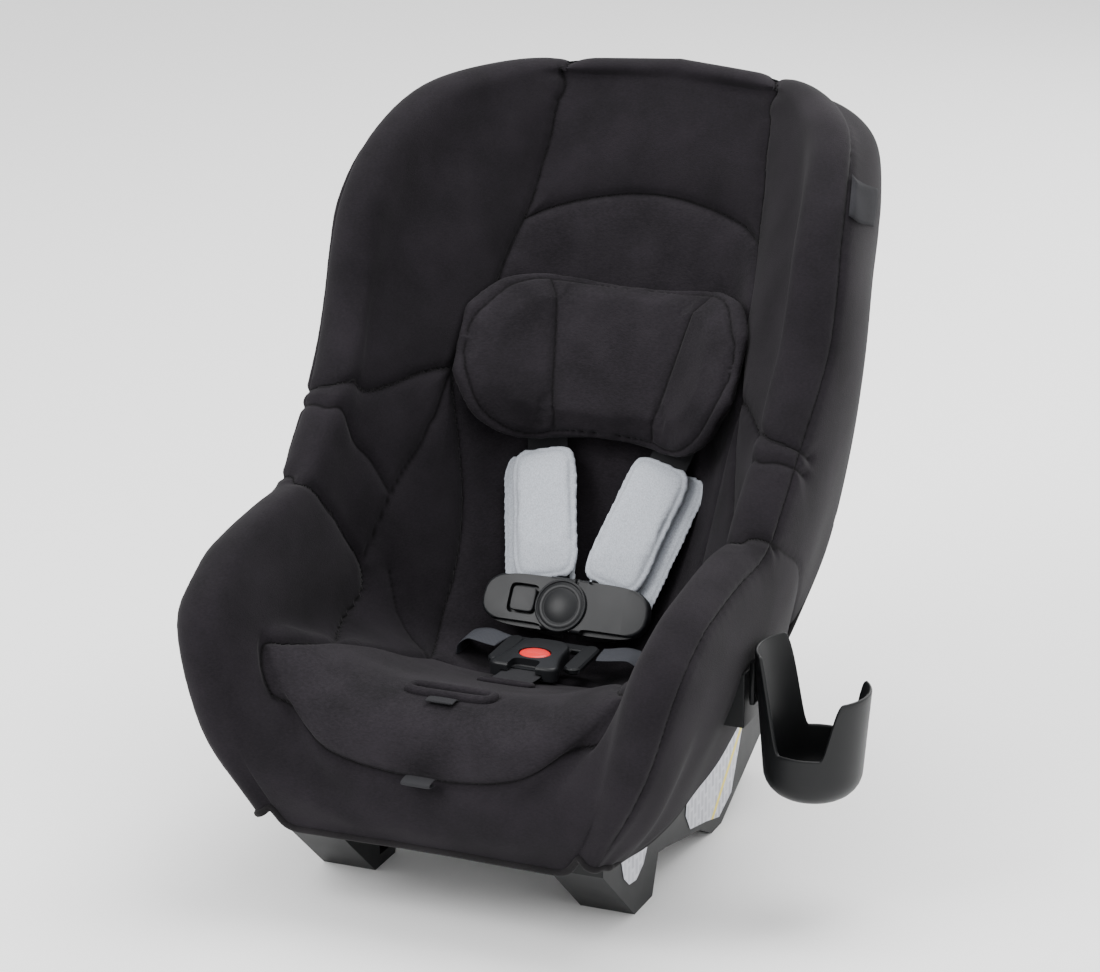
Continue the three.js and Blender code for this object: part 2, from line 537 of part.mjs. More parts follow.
// half of its outline: a flared front that straddles the crotch webbing, a narrower rear
const HOUSING = [[31, -34], [31, -27], [25, -13], [22.5, 2], [22.5, 19], [16, 27]];
const housingShape = new THREE.Shape([...HOUSING.map(([x, up]) => new THREE.Vector2(x, up)),
  ...HOUSING.slice().reverse().map(([x, up]) => new THREE.Vector2(-x, up))]);
const HOUSING_BEVEL = 2;
const housing = buckleFrame(new THREE.ExtrudeGeometry(housingShape, {
  depth: BUCKLE_THICK - 2 * HOUSING_BEVEL, bevelThickness: HOUSING_BEVEL, bevelSize: HOUSING_BEVEL,
  bevelOffset: -HOUSING_BEVEL, bevelSegments: 1 }), 0, 0, HOUSING_BEVEL - BUCKLE_THICK);
const BUTTON_R = 13.5; // the button is an ellipse this far across to each side
const oval = (r, depth) => new THREE.CylinderGeometry(r, r, depth, 28).rotateX(Math.PI / 2)
  .scale(1, 0.8, 1);
const buckleWell = buckleFrame(oval(BUTTON_R + 0.7, 9), 0, -4, -4.4);
const buckleMouth = buckleFrame(plate(40, 24, 6, 1), 0, 22, -8.5);
const archway = buckleFrame(plate(27, 18, 9, 3), 0, -33, -2);
const webbingSlot = buckleFrame(plate(STRAP - 3, 16, 4.4, 1), 0, -34, -7);
const underCut = buckleFrame(plate(80, 24, 4, 1), 0, -30, -BUCKLE_THICK);
node("buckle_housing", cut(housing, buckleWell, buckleMouth, archway, webbingSlot, underCut),
  "plastic");
node("buckle_button", buckleFrame(oval(BUTTON_R, 5), 0, -4, -1.4), "button");
node("buckle_spring", buckleFrame(new THREE.CylinderGeometry(3, 3, 4, 10)
  .rotateX(Math.PI / 2), 0, -4, -6.2), "steel");

function tongue() {
  const blade = buckleFrame(plate(17, 24, 2.4, 2), 10, 23, -8.5);
  const loop = buckleFrame(plate(34, 12, 5, 3, 1), 21, 36, -8.5);
  const lobe = buckleFrame(plate(15, 54, 6, 6, 1.5), 34, 15, -8);
  return join(blade, loop, lobe);
}
pair("buckle_tongue", tongue(), "plastic");

// ---------------------------------------------------------------- harness adjuster
const adjusterBox = (x0, x1, y0, y1, z0, z1) => box(x0, x1, ADJUSTER.y + y0, ADJUSTER.y + y1,
  ADJUSTER.z + z0, ADJUSTER.z + z1);
const adjusterFrame = cut(adjusterBox(-30, 30, -12, 12, -34, -14),
  adjusterBox(-26, 26, -13, 9, -31, -13));
node("adjuster_frame", adjusterFrame, "steel");
node("adjuster_lever", adjusterBox(-25, 25, -4, 8, -19, -15.6), "steel");
const adjusterRoute = [vec(0, ADJUSTER.y - 8, ADJUSTER.z - 26), vec(0, ADJUSTER.y - 8, ADJUSTER.z - 10),
  vec(0, ADJUSTER.y - 10.5, ADJUSTER.z - 1), vec(0, ADJUSTER.y - 17, ADJUSTER.z + 3.5),
  vec(0, ADJUSTER.y - 26, ADJUSTER.z + 3.5)];
const adjusterFaces = [vec(0, -1, 0), vec(0, -1, 0.1), vec(0, -0.8, 0.6), vec(0, -0.2, 1),
  vec(0, 0, 1)];
node("adjuster_strap", band(adjusterRoute, 24, WEBBING, adjusterFaces), "webbing");
node("splitter_plate", place(plate(62, 26, 3, 4), SPLITTER.clone().add(vec(0, 9, 0)),
  vec(1, 0, 0), vec(0, 0.43, 0.9)), "steel");

// ---------------------------------------------------------------- cup holder
const CUP = { x: 268, y: -136, r: 48, wall: 3, floor: 105, notch: 149, low: 196, high: 227 };
const cupProfile = [];
const CUP_ROUND = 24;
for (let i = 0; i <= 5; i++) {
  const a = (i / 5) * (Math.PI / 2);
  cupProfile.push(new THREE.Vector2(CUP.r - 8 - CUP_ROUND + CUP_ROUND * Math.sin(a),
    CUP.floor + CUP_ROUND * (1 - Math.cos(a))));
}
cupProfile.push(new THREE.Vector2(CUP.r, CUP.high), new THREE.Vector2(CUP.r - CUP.wall, CUP.high));
for (let i = 5; i >= 0; i--) {
  const a = (i / 5) * (Math.PI / 2);
  const r = CUP_ROUND - CUP.wall;
  cupProfile.push(new THREE.Vector2(CUP.r - 8 - CUP_ROUND + r * Math.sin(a),
    CUP.floor + CUP.wall + r * (1 - Math.cos(a))));
}
cupProfile.push(new THREE.Vector2(0, CUP.floor + CUP.wall));
cupProfile.unshift(new THREE.Vector2(0, CUP.floor));
const cupBowl = new THREE.LatheGeometry([...cupProfile, cupProfile[0]], 28).rotateX(Math.PI / 2)
  .translate(CUP.x, CUP.y, 0);

// the front and rear notches, and the lower lobe on the outside
const notch = new THREE.Shape();
const NOTCH_R = 25;
notch.moveTo(-NOTCH_R - 13, 260).lineTo(-NOTCH_R - 4, 190);
notch.quadraticCurveTo(-NOTCH_R, CUP.notch, 0, CUP.notch);
notch.quadraticCurveTo(NOTCH_R, CUP.notch, NOTCH_R + 4, 185);
notch.lineTo(NOTCH_R + 9, CUP.low).lineTo(80, CUP.low).lineTo(80, 260);
const notches = new THREE.ExtrudeGeometry(notch, { depth: 130, bevelEnabled: false,
  curveSegments: 6 }).rotateX(Math.PI / 2).translate(CUP.x, CUP.y + 65, 0);
const hanger = box(CUP.x - CUP.r - 3, CUP.x - CUP.r + 2, CUP.y - 14, CUP.y + 14, 175, 214);
node("cup_holder", join(cut(cupBowl, notches), hanger), "plastic");
const bracket = box(196, CUP.x - CUP.r - 3 - GAP, CUP.y - 20, CUP.y + 20, 160, 206);
const bracketRoom = layer([2.5, 3, 3.5, 4, 5, 6, 6.5, 7], [7, 8, 8.5, 9, 9.5, 9.8, 10],
  () => -GAP, () => 60);
node("cup_holder_bracket", cut(bracket, bracketRoom), "plastic");

// ---------------------------------------------------------------- head pillow
// A bolster with a flat middle and two lobes that curve forward round the head.
const PILLOW = vec(0, 128, 362);
const PILLOW_UP = vec(0, 0.572, 0.82);
const PILLOW_OUT = vec(0, -0.82, 0.572);
const PILLOW_BEND = [[0, 0], [37, 1], [62, 6], [86, 23], [108, 44], [125, 65]];
const PILLOW_TOP = [71, 71, 70, 64, 48, 14];
const PILLOW_FOOT = [-79, -81, -86, -88, -78, -48];

function pillowPoint(s, t, face) {
  const at = Math.abs(s) * (PILLOW_BEND.length - 1);
  const [x, out] = catmull(PILLOW_BEND, at);
  const [top] = catmull(PILLOW_TOP.map((k) => [k]), at);
  const [foot] = catmull(PILLOW_FOOT.map((k) => [k]), at);
  const up = (top + foot) / 2 + (t * (top - foot)) / 2;
  const full = Math.sqrt(Math.max(1 - t ** 6, 0)) * Math.sqrt(Math.max(1 - Math.abs(s) ** 8, 0));
  const before = catmull(PILLOW_BEND, Math.max(at - 0.1, 0));
  const after = catmull(PILLOW_BEND, Math.min(at + 0.1, PILLOW_BEND.length - 1));
  const slope = new THREE.Vector2(after[0] - before[0], after[1] - before[1]).normalize();
  const half = face > 0 ? 4 + 10 * full : 4 + 3 * full;
  const sideways = (s < 0 ? -1 : 1) * (x - face * half * slope.y);
  return PILLOW.clone().add(vec(sideways, 0, 0)).addScaledVector(PILLOW_UP, up)
    .addScaledVector(PILLOW_OUT, out + face * half * slope.x);
}

function pillow() {
  const ss = range(-1, 1, 14);
  const ts = [-1, -0.8, -0.4, 0, 0.4, 0.8, 1];
  return closed((i, j, f) => pillowPoint(ss[i], ts[j], f ? -1 : 1), ss.length, ts.length);
}
node("head_pillow", pillow(), "cover");

// ---------------------------------------------------------------- small trim
const tagDepth = (depth) => () => -depth;
node("side_tag", layer([12.5, 12.8, 13.1], [8.15, 8.45, 8.8], tagDepth(2.4), tagDepth(1.4)),
  "label");
node("front_loop", box(-12, 12, -307, -298.2, 134, 138), "webbing");
const labelOutline = [[65, 83], [33, 20], [4, 9], [-27, 17], [-65, 25], [-76, 41], [-73, 58],
  [-29, 62], [-5, 66], [31, 74]];
const labelAt = RUNNER_OUT + 0.3;
node("side_label", sidePlate(labelOutline, labelAt, labelAt + 0.5), "label");
const footLabel = [[-222, 62], [-162, 52], [-172, 38], [-188, 30], [-203, 32], [-214, 41]];
node("foot_label", sidePlate(footLabel, labelAt, labelAt + 0.5), "label");
SCREWS.forEach(([x, y], i) => node(`base_screw_${i + 1}`, screw(x, y), "steel"));

export default model;
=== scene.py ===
"""Convertible child car seat: its padded cover, harness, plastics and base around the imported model.

Sizes are in millimetres in the row's frame and are turned to metres when a mesh is made.
+X is the child's left, +Y is the seat's back, +Z is up, and the origin is on the floor.
"""
import math

import bpy
import bmesh
import numpy as np
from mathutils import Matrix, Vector
from mathutils.bvhtree import BVHTree


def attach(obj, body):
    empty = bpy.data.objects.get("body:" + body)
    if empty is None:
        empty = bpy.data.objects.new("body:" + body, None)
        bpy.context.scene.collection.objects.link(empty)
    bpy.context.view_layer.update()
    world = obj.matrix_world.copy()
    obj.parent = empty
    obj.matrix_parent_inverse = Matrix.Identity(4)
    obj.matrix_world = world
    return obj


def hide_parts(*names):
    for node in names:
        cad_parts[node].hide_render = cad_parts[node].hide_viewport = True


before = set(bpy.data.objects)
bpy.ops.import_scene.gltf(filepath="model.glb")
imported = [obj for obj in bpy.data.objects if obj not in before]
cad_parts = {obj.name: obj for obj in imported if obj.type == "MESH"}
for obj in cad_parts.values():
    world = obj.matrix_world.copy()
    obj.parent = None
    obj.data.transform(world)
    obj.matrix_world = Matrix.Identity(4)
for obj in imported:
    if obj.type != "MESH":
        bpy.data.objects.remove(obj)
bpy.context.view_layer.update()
MM = 0.001


# ---- Stage --------------------------------------------------------------------------------------
# A pale floor, a white room, and four soft lights: the key high on the child's right, a fill on
# the child's left, one above the head that lights the top edges, and one behind the seat.
def link(obj):
    bpy.context.scene.collection.objects.link(obj)
    return obj


def look_at(obj, target):
    """Turns a light or camera at its place so that its -Z axis points at the target."""
    obj.rotation_euler = (Vector(target) - obj.location).to_track_quat("-Z", "Y").to_euler()


def hex_linear(text):
    """An sRGB hex colour as linear RGBA."""
    srgb = [int(text[i:i + 2], 16) / 255 for i in (1, 3, 5)]
    return (*[c / 12.92 if c <= 0.04045 else ((c + 0.055) / 1.055) ** 2.4 for c in srgb], 1.0)


def add(tree, kind, inputs=None, **settings):
    """Adds a shader node with its settings, and fills its sockets with values or links."""
    node = tree.nodes.new("ShaderNode" + kind)
    for key, value in settings.items():
        setattr(node, key, value)
    for key, value in (inputs or {}).items():
        if isinstance(value, bpy.types.NodeSocket):
            tree.links.new(value, node.inputs[key])
        else:
            node.inputs[key].default_value = value
    return node


def new_material(name):
    """An empty node material, its tree and its principled shader."""
    material = bpy.data.materials.new(name)
    material.use_nodes = True
    tree = material.node_tree
    return material, tree, tree.nodes["Principled BSDF"]


LOOK_AT = Vector((-0.018, 0.010, 0.281))
AZIMUTH, ELEVATION = math.radians(22.5), math.radians(18.5)
DISTANCE = 3.423
camera = link(bpy.data.objects.new("camera", bpy.data.cameras.new("camera")))
camera.location = LOOK_AT + DISTANCE * Vector((
    math.sin(AZIMUTH) * math.cos(ELEVATION), -math.cos(AZIMUTH) * math.cos(ELEVATION),
    math.sin(ELEVATION)))
look_at(camera, LOOK_AT)
camera.data.sensor_width = 36
camera.data.lens = 133.85
bpy.context.scene.camera = camera

for name, place, size, watts in (("key", (-1.5, -2.2, 2.3), 1.6, 84),
                                 ("fill", (2.4, -1.6, 1.3), 1.6, 18),
                                 ("top", (0.3, 0.5, 2.6), 1.8, 74),
                                 ("back", (0.6, 2.6, 1.6), 1.8, 40)):
    lamp = link(bpy.data.objects.new(name, bpy.data.lights.new(name, "AREA")))
    lamp.data.size = size
    lamp.data.energy = watts
    lamp.location = place
    look_at(lamp, LOOK_AT)

world = bpy.data.worlds.new("room")
bpy.context.scene.world = world
world.use_nodes = True
world.node_tree.nodes["Background"].inputs["Color"].default_value = (1, 1, 1, 1)
world.node_tree.nodes["Background"].inputs["Strength"].default_value = 1.2

floor_mesh = bpy.data.meshes.new("floor")
FLOOR = 14.0
floor_mesh.from_pydata([(-FLOOR, -FLOOR, 0), (FLOOR, -FLOOR, 0), (FLOOR, FLOOR, 0),
                        (-FLOOR, FLOOR, 0)], [], [(0, 1, 2, 3)])
floor = link(bpy.data.objects.new("floor", floor_mesh))
paper, tree, shader = new_material("seamless_paper")
shader.inputs["Base Color"].default_value = hex_linear("#fafafa")
shader.inputs["Roughness"].default_value = 0.9
floor_mesh.materials.append(paper)


# ---- The seat's surface -------------------------------------------------------------------------
# The cover's face over u, from the front hem over the cushion and up the back to the top edge,
# and over v, from the centre line out to the piped edge and down the outside to the hem.
# Each row holds c centre line, a mid panel, s seam, f foot of the side, w middle of the side,
# r outermost edge, o outside, h hem, and the radius of the padded edge.
STATIONS = [
    ((0, -288, 74), (25, -288, 74), (50, -289, 74), (95, -290, 74), (120, -290, 75),
     (148, -285, 82), (151, -279, 80), (150, -272, 78), 11),
    ((0, -297, 100), (50, -298, 105), (90, -299, 116), (120, -301, 127), (147, -303, 138),
     (190, -295, 148), (187, -268, 125), (153, -250, 78), 18),
    ((0, -292, 130), (88, -297, 151), (147, -263, 205), (156, -268, 213), (164, -279, 224),
     (214, -287, 228), (206, -240, 185), (159, -218, 78), 22),
    ((0, -281, 172), (85, -280, 180), (142, -235, 213), (158, -236, 222), (166, -240, 240),
     (217.5, -246, 259), (210, -200, 190), (165, -180, 84), 22),
    ((0, -236, 184), (75, -225, 186), (130, -196, 199), (157, -195, 206), (165, -198, 238),
     (217, -205, 270), (211, -160, 200), (168, -140, 94), 21),
    ((0, -170, 166), (65, -165, 168), (113, -150, 181), (156, -148, 188), (165, -150, 235),
     (216.5, -155, 276), (213, -110, 212), (173, -100, 106), 21),
    ((0, -100, 145), (60, -100, 147), (108, -100, 160), (155, -98, 183), (165, -100, 235),
     (217, -105, 281), (215, -60, 228), (179, -55, 132), 21),
    ((0, -10, 124), (60, -15, 127), (112, -35, 150), (150, -55, 190), (170, -68, 250),
     (221, -66, 309), (218, -15, 258), (186, 0, 158), 23),
    ((0, 40, 142), (65, 32, 150), (115, 0, 190), (146, -22, 232), (172, -45, 290),
     (223, -32, 340), (221, 25, 300), (191, 50, 190), 25),
    ((0, 75, 200), (80, 67, 208), (120, 30, 250), (146, 8, 290), (175, -20, 340),
     (226, 2, 382), (224, 60, 345), (197, 98, 235), 25),
    ((0, 112, 280), (84, 107, 287), (125, 58, 330), (148, 35, 355), (180, 5, 385),
     (229, 25, 421), (227, 82, 392), (202, 135, 305), 25),
    ((0, 145, 352), (82, 143, 357), (118, 108, 398), (145, 75, 410), (180, 38, 430),
     (229.5, 38, 458), (226, 98, 435), (204, 160, 375), 25),
    ((0, 172, 415), (74, 171, 420), (110, 152, 452), (140, 110, 460), (176, 70, 475),
     (228, 55, 497), (222, 116, 478), (202, 182, 440), 25),
    ((0, 191, 463), (60, 188, 468), (101, 185, 490), (133, 148, 503), (167, 112, 518),
     (219, 92, 537), (218, 148, 520), (198, 208, 492), 23),
    ((0, 203, 492), (55, 203, 500), (94, 210, 536), (120, 188, 550), (145, 165, 563),
     (196, 152, 567), (197, 200, 555), (176, 243, 530), 20),
    ((0, 212, 512), (45, 218, 525), (78, 228, 555), (96, 222, 567), (112, 212, 577),
     (147, 220, 577), (150, 252, 568), (136, 276, 540), 16),
    ((0, 216, 521), (30, 226, 540), (52, 238, 562), (66, 241, 572), (78, 243, 579),
     (92, 259, 577), (90, 283, 568), (86, 296, 543), 14),
    ((0, 219, 528), (0, 230, 547), (0, 241, 565), (0, 246, 574), (0, 249, 581),
     (0, 274, 580), (0, 295, 571), (0, 306, 548), 14)]
TOP = len(STATIONS) - 1
HEM = 10  # the hem's v


def unit(vectors):
    """Each vector over its own length."""
    return vectors / np.maximum(np.linalg.norm(vectors, axis=-1, keepdims=True), 1e-9)


def catmull(points, t):
    """A smooth curve through a list of points, at every t counted in points (Catmull-Rom)."""
    points = np.asarray(points, float)
    before, after = 2 * points[0] - points[1], 2 * points[-1] - points[-2]
    padded = np.concatenate([before[None], points, after[None]])
    t = np.asarray(t, float)
    i = np.clip(np.floor(t).astype(int), 0, len(points) - 2)
    k = (t - i).reshape(t.shape + (1,) * (points.ndim - 1))
    p, q, r, s = (padded[i + n] for n in range(4))
    return q + 0.5 * k * (r - p + k * (2 * p - 5 * q + 4 * r - s + k * (3 * (q - r) + s - p)))


def sections():
    """Every station's control points, with its padded edge as a round roll of three points."""
    edge = np.array([row[5] for row in STATIONS], float)
    rows = []
    for i, row in enumerate(STATIONS):
        step = edge[min(i + 1, TOP)] - edge[max(i - 1, 0)]
        along = np.array([-1.0, 0, 0]) if i == TOP else unit(step)
        lift = np.array([0, 0, 1.0]) if i == TOP else np.array([0, -step[2], step[1]])
        lift = unit(lift - lift @ along * along)
        inward = np.cross(lift, along)
        turn = np.radians([135, 90, 45])[:, None]
        roll = edge[i] + row[8] * ((1 - np.cos(turn)) * inward + np.sin(turn) * lift)
        rows.append([*row[:5], *roll, *row[5:8]])
    return np.array([[np.asarray(p, float) for p in row] for row in rows])


SECTIONS = sections()


def cover(u, v):
    """The points of the cover's face at matching arrays of u and v, for v from 0 to 10."""
    rows = catmull(SECTIONS, u)
    mirrored = rows[..., 1:2, :] * (-1, 1, 1)
    rows = np.concatenate([mirrored, rows], axis=-2)
    before = 2 * rows[..., :1, :] - rows[..., 1:2, :]
    after = 2 * rows[..., -1:, :] - rows[..., -2:-1, :]
    rows = np.concatenate([before, rows, after], axis=-2)
    i = np.clip(np.floor(v).astype(int) + 1, 0, 10)
    k = (v + 1 - i)[..., None]
    p, q, r, s = (np.take_along_axis(rows, (i + n)[..., None, None], -2)[..., 0, :]
                  for n in range(4))
    points = q + 0.5 * k * (r - p + k * (2 * p - 5 * q + 4 * r - s + k * (3 * (q - r) + s - p)))
    points[..., 0] = np.where((v <= 0) | (u >= TOP), 0, points[..., 0])
    return points


def inward_normals(points):
    """Unit normals of a grid over (u, v) that point away from the child, into the bucket."""
    normals = unit(np.cross(np.gradient(points, axis=0), np.gradient(points, axis=1)))
    for edge in (normals[:, 0], normals[-1]):
        edge[:, 0] = 0
    return unit(normals)


def mesh_object(name, points, faces, material):
    """A mesh object from points in millimetres and faces, shaded smooth."""
    mesh = bpy.data.meshes.new(name)
    mesh.from_pydata((np.asarray(points, float).reshape(-1, 3) * MM).tolist(), [],
                     np.asarray(faces).tolist() if isinstance(faces, np.ndarray) else faces)
    mesh.polygons.foreach_set("use_smooth", [True] * len(mesh.polygons))
    mesh.materials.append(material)
    return link(bpy.data.objects.new(name, mesh))


def cleaned(obj, merge=0.0, turn_out=True):
    """Merges points closer than that many millimetres, and turns the faces outwards."""
    edit = bmesh.new()
    edit.from_mesh(obj.data)
    if merge:
        bmesh.ops.remove_doubles(edit, verts=edit.verts, dist=merge * MM)
    if turn_out:
        bmesh.ops.recalc_face_normals(edit, faces=edit.faces)
    edit.to_mesh(obj.data)
    edit.free()
    return obj


def with_modifiers(obj):
    """Gives the object the mesh that its modifiers make, and removes the modifiers."""
    bpy.context.view_layer.update()
    graph = bpy.context.evaluated_depsgraph_get()
    made = bpy.data.meshes.new_from_object(obj.evaluated_get(graph))
    obj.modifiers.clear()
    obj.data = made
    return obj


def grid_faces(rows, columns, wrap=False):
    """The quads of a grid of points, with the last column joined to the first if wrap is true."""
    i = np.arange(rows - 1)[:, None]
    j = np.arange(columns if wrap else columns - 1)[None]
    k = (j + 1) % columns
    return np.stack([i * columns + j, i * columns + k, (i + 1) * columns + k,
                     (i + 1) * columns + j], axis=-1).reshape(-1, 4)


def finish_piece(obj, body, slot, *nodes):
    """Rides the piece on its body and hides the model's nodes that it stands for; slot is not used.
    """
    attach(obj, body)
    if nodes:
        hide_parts(*nodes)
    return obj


# ---- Cover fabric -------------------------------------------------------------------------------
# Fine weft-knitted polyester laminated to foam, dyed a warm charcoal. The real courses are about
# half a millimetre apart and are drawn about twice as coarse to show; fibres give a soft sheen.
def knit(name, dark, light, course, sheen, bump):
    """A knit whose fibres vary between two colours, with courses that many millimetres apart."""
    material, tree, shader = new_material(name)
    place = add(tree, "TexCoord").outputs["Object"]
    long_way = add(tree, "Mapping", {"Vector": place, "Scale": (0.35, 0.35, 1.0)}).outputs[0]
    fibres = add(tree, "TexNoise", {"Vector": long_way, "Scale": 1 / (course * MM), "Detail": 3,
                                    "Roughness": 0.6}).outputs["Fac"]
    loops = add(tree, "TexVoronoi", {"Vector": place, "Scale": 0.8 / (course * MM)})
    clouds = add(tree, "TexNoise", {"Vector": place, "Scale": 22, "Detail": 2}).outputs["Fac"]
    mixed = add(tree, "Math", {0: fibres, 1: clouds}, operation="ADD").outputs[0]
    spread = add(tree, "MapRange", {"Value": mixed, "From Min": 0.72, "From Max": 1.28})
    tint = add(tree, "Mix", {0: spread.outputs[0], 6: hex_linear(dark), 7: hex_linear(light)},
               data_type="RGBA").outputs[2]
    # Painted shade: the knit darkens to near black along each seam's crease, by the point attribute
    # that marks closeness to a seam.
    seam_shade = add(tree, "Attribute", attribute_name="seam_shade").outputs["Fac"]
    shade = add(tree, "Mix", {0: seam_shade, 6: tint, 7: hex_linear("#050405")},
                data_type="RGBA").outputs[2]
    height = add(tree, "Math", {0: loops.outputs["Distance"], 1: fibres}, operation="SUBTRACT")
    relief = add(tree, "Bump", {"Height": height.outputs[0], "Strength": bump,
                                "Distance": 0.35 * MM})
    tree.links.new(shade, shader.inputs["Base Color"])
    tree.links.new(relief.outputs[0], shader.inputs["Normal"])
    shader.inputs["Roughness"].default_value = 0.92
    shader.inputs["Specular IOR Level"].default_value = 0.12
    shader.inputs["Sheen Weight"].default_value = sheen
    shader.inputs["Sheen Roughness"].default_value = 0.45
    return material


charcoal_knit = knit("charcoal_knit", "#141215", "#1f1c20", 0.9, 0.03, 0.4)
insert_knit = knit("charcoal_insert_knit", "#161417", "#242125", 1.1, 0.03, 0.5)

# ---- Cover: seams -------------------------------------------------------------------------------
# The panels are sewn with the raw edges inside, so each seam pulls the foam in and puckers it a
# little. Each seam is its route over (u, v), how deep it pulls in, and how wide its valley is.
WING_SEAM = [(10.3, 2.2), (11.0, 1.92), (11.6, 1.96), (12.4, 1.96), (13.2, 2.04), (14.0, 2.1),
             (14.9, 2.7), (15.5, 3.8), (15.85, 5.8), (16.05, 8.0)]
ARCH_SEAM = [(13.88, 0), (13.8, 0.4), (13.55, 0.8), (13.2, 1.2), (12.8, 1.6), (12.35, 1.96)]
LOW_WING_SEAM = [(10.3, 2.2), (10.05, 2.95), (9.6, 3.6), (8.9, 4.4), (8.25, 5.2), (8.15, 6.5),
                 (8.15, 8.0)]
SIDE_SEAM = [(8.4, 3.22), (8.5, 3.7), (8.28, 4.2), (7.95, 4.8), (7.7, 5.5), (7.8, 6.4),
             (7.85, 8.0)]
INNER_SEAM = [(10.3, 2.2), (9.8, 2.35), (9.4, 2.65), (8.9, 3.0), (8.35, 3.22), (7.77, 3.34),
              (7.05, 3.45)]
ARM_SEAM = [(4.3, 2.1), (5.0, 2.6), (5.7, 2.95), (6.39, 3.1), (6.8, 3.2), (7.05, 3.45),
            (6.95, 3.8), (6.6, 4.25), (6.24, 4.6), (5.95, 5.3), (5.97, 6.0), (6.15, 6.4),
            (6.3, 7.4), (6.35, 8.0)]
BACK_SEAM = [(6.45, 1.68), (7.0, 1.82), (7.5, 1.86), (8.1, 1.78), (9.0, 1.7), (9.7, 1.85),
             (10.3, 2.2)]
BIGHT_SEAM = [(6.5, 0), (6.5, 0.6), (6.48, 1.2), (6.45, 1.68)]
CREASE = [(7.5, 2.92), (7.14, 2.59), (6.78, 2.2), (6.45, 1.68)]
CUSHION_SEAM = [(2.1, 0), (2.07, 0.5), (2.0, 0.9), (1.86, 1.35), (1.68, 1.85), (1.62, 2.3),
                (1.78, 2.45), (2.05, 2.25), (2.4, 2.03), (3.0, 1.94), (3.6, 1.94), (4.3, 2.05),
                (5.4, 2.0), (6.1, 1.8), (6.45, 1.68)]
PIPING_SEAM = [(0, 7.0), (0.9, 7.1), (1.5, 7.4), (2.5, 7.5), (3.8, 7.7), (5.0, 7.7), (6.3, 7.7),
               (7.0, 7.45), (8.2, 7.3), (9.2, 7.4), (10.9, 7.4), (12.1, 7.25), (13.0, 7.3),
               (14.0, 7.6), (15.0, 7.9), (16.0, 8.0), (17.0, 8.0)]
OUTSIDE_SEAM = [(6.35, 7.7), (6.5, 8.4), (6.85, 9.1), (7.3, 9.6), (7.6, 10.0)]
SEAMS = [  # route, depth, width of the valley
    (WING_SEAM, 3.6, 4.5), (ARCH_SEAM, 3.6, 4.0), (LOW_WING_SEAM, 3.2, 4.0),
    (SIDE_SEAM, 2.8, 4.0), (INNER_SEAM, 2.8, 4.0), (ARM_SEAM, 3.4, 4.5), (BACK_SEAM, 3.0, 5.0),
    (BIGHT_SEAM, 5.0, 6.0), (CREASE, 1.5, 3.5), (CUSHION_SEAM, 4.6, 4.2),
    (PIPING_SEAM, 2.6, 3.6), (OUTSIDE_SEAM, 1.8, 3.5)]
PUFF = 2.6  # how far the foam stands proud between seams
PUFF_REACH = 17  # and how soon it gets there
PUCKER = 0.16  # the puckers' height beside a seam
PUCKER_LENGTH, PUCKER_SWAY, PUCKER_FADE = 13, 37, 7  # their spacing, its drift, and their width
SEARCH = 60  # a seam is looked for this far from its line
AT_ONCE = 12000  # points compared with a seam in one go, to spare memory


def seam_route(route, samples=26):
    """A seam's route as a smooth curve of (u, v), with that many samples between its points."""
    return catmull(route, np.linspace(0, len(route) - 1, samples * (len(route) - 1) + 1))


def fine_steps(stops, counts):
    """Values from stop to stop, with each stretch cut into its own count of equal steps."""
    parts = [np.linspace(a, b, n, endpoint=False) for a, b, n in zip(stops, stops[1:], counts)]
    return np.concatenate([*parts, stops[-1:]])


# The grid is finest where seams run along it.
U = fine_steps([0, 1.4, 2.4, 6, 7.2, 10, 12, 14.2, TOP], [36, 44, 92, 38, 96, 60, 66, 70])
V = fine_steps([0, 1.4, 2.5, 5, 7, 8.2, 10], [48, 44, 44, 30, 24, 34])
grid_u, grid_v = np.meshgrid(U, V, indexing="ij")
face_points = cover(grid_u, grid_v)
EASE_PASSES = 26


def eased(points, passes):
    """The grid with its small ripples spread out; its free edges are eased along themselves."""
    for _ in range(passes):
        across = np.concatenate([points[:, 1:2] * (-1, 1, 1), points, points[:, -1:]], axis=1)
        across = (across[:, :-2] + 2 * points + across[:, 2:]) / 4
        across[:, -1] = points[:, -1]
        along = (across[:-2] + 2 * across[1:-1] + across[2:]) / 4
        points = np.concatenate([across[:1], along, across[-1:]])
    return points


face_points = eased(face_points, EASE_PASSES)
inward = inward_normals(face_points)


def on_cover(u, v):
    """Points of the eased cover at matching arrays of u and v, between its grid points."""
    i = np.clip(np.searchsorted(U, u) - 1, 0, len(U) - 2)
    j = np.clip(np.searchsorted(V, v) - 1, 0, len(V) - 2)
    a = np.clip((u - U[i]) / (U[i + 1] - U[i]), 0, 1)[:, None]
    b = np.clip((v - V[j]) / (V[j + 1] - V[j]), 0, 1)[:, None]
    return ((1 - a) * (1 - b) * face_points[i, j] + a * (1 - b) * face_points[i + 1, j]
            + (1 - a) * b * face_points[i, j + 1] + a * b * face_points[i + 1, j + 1])


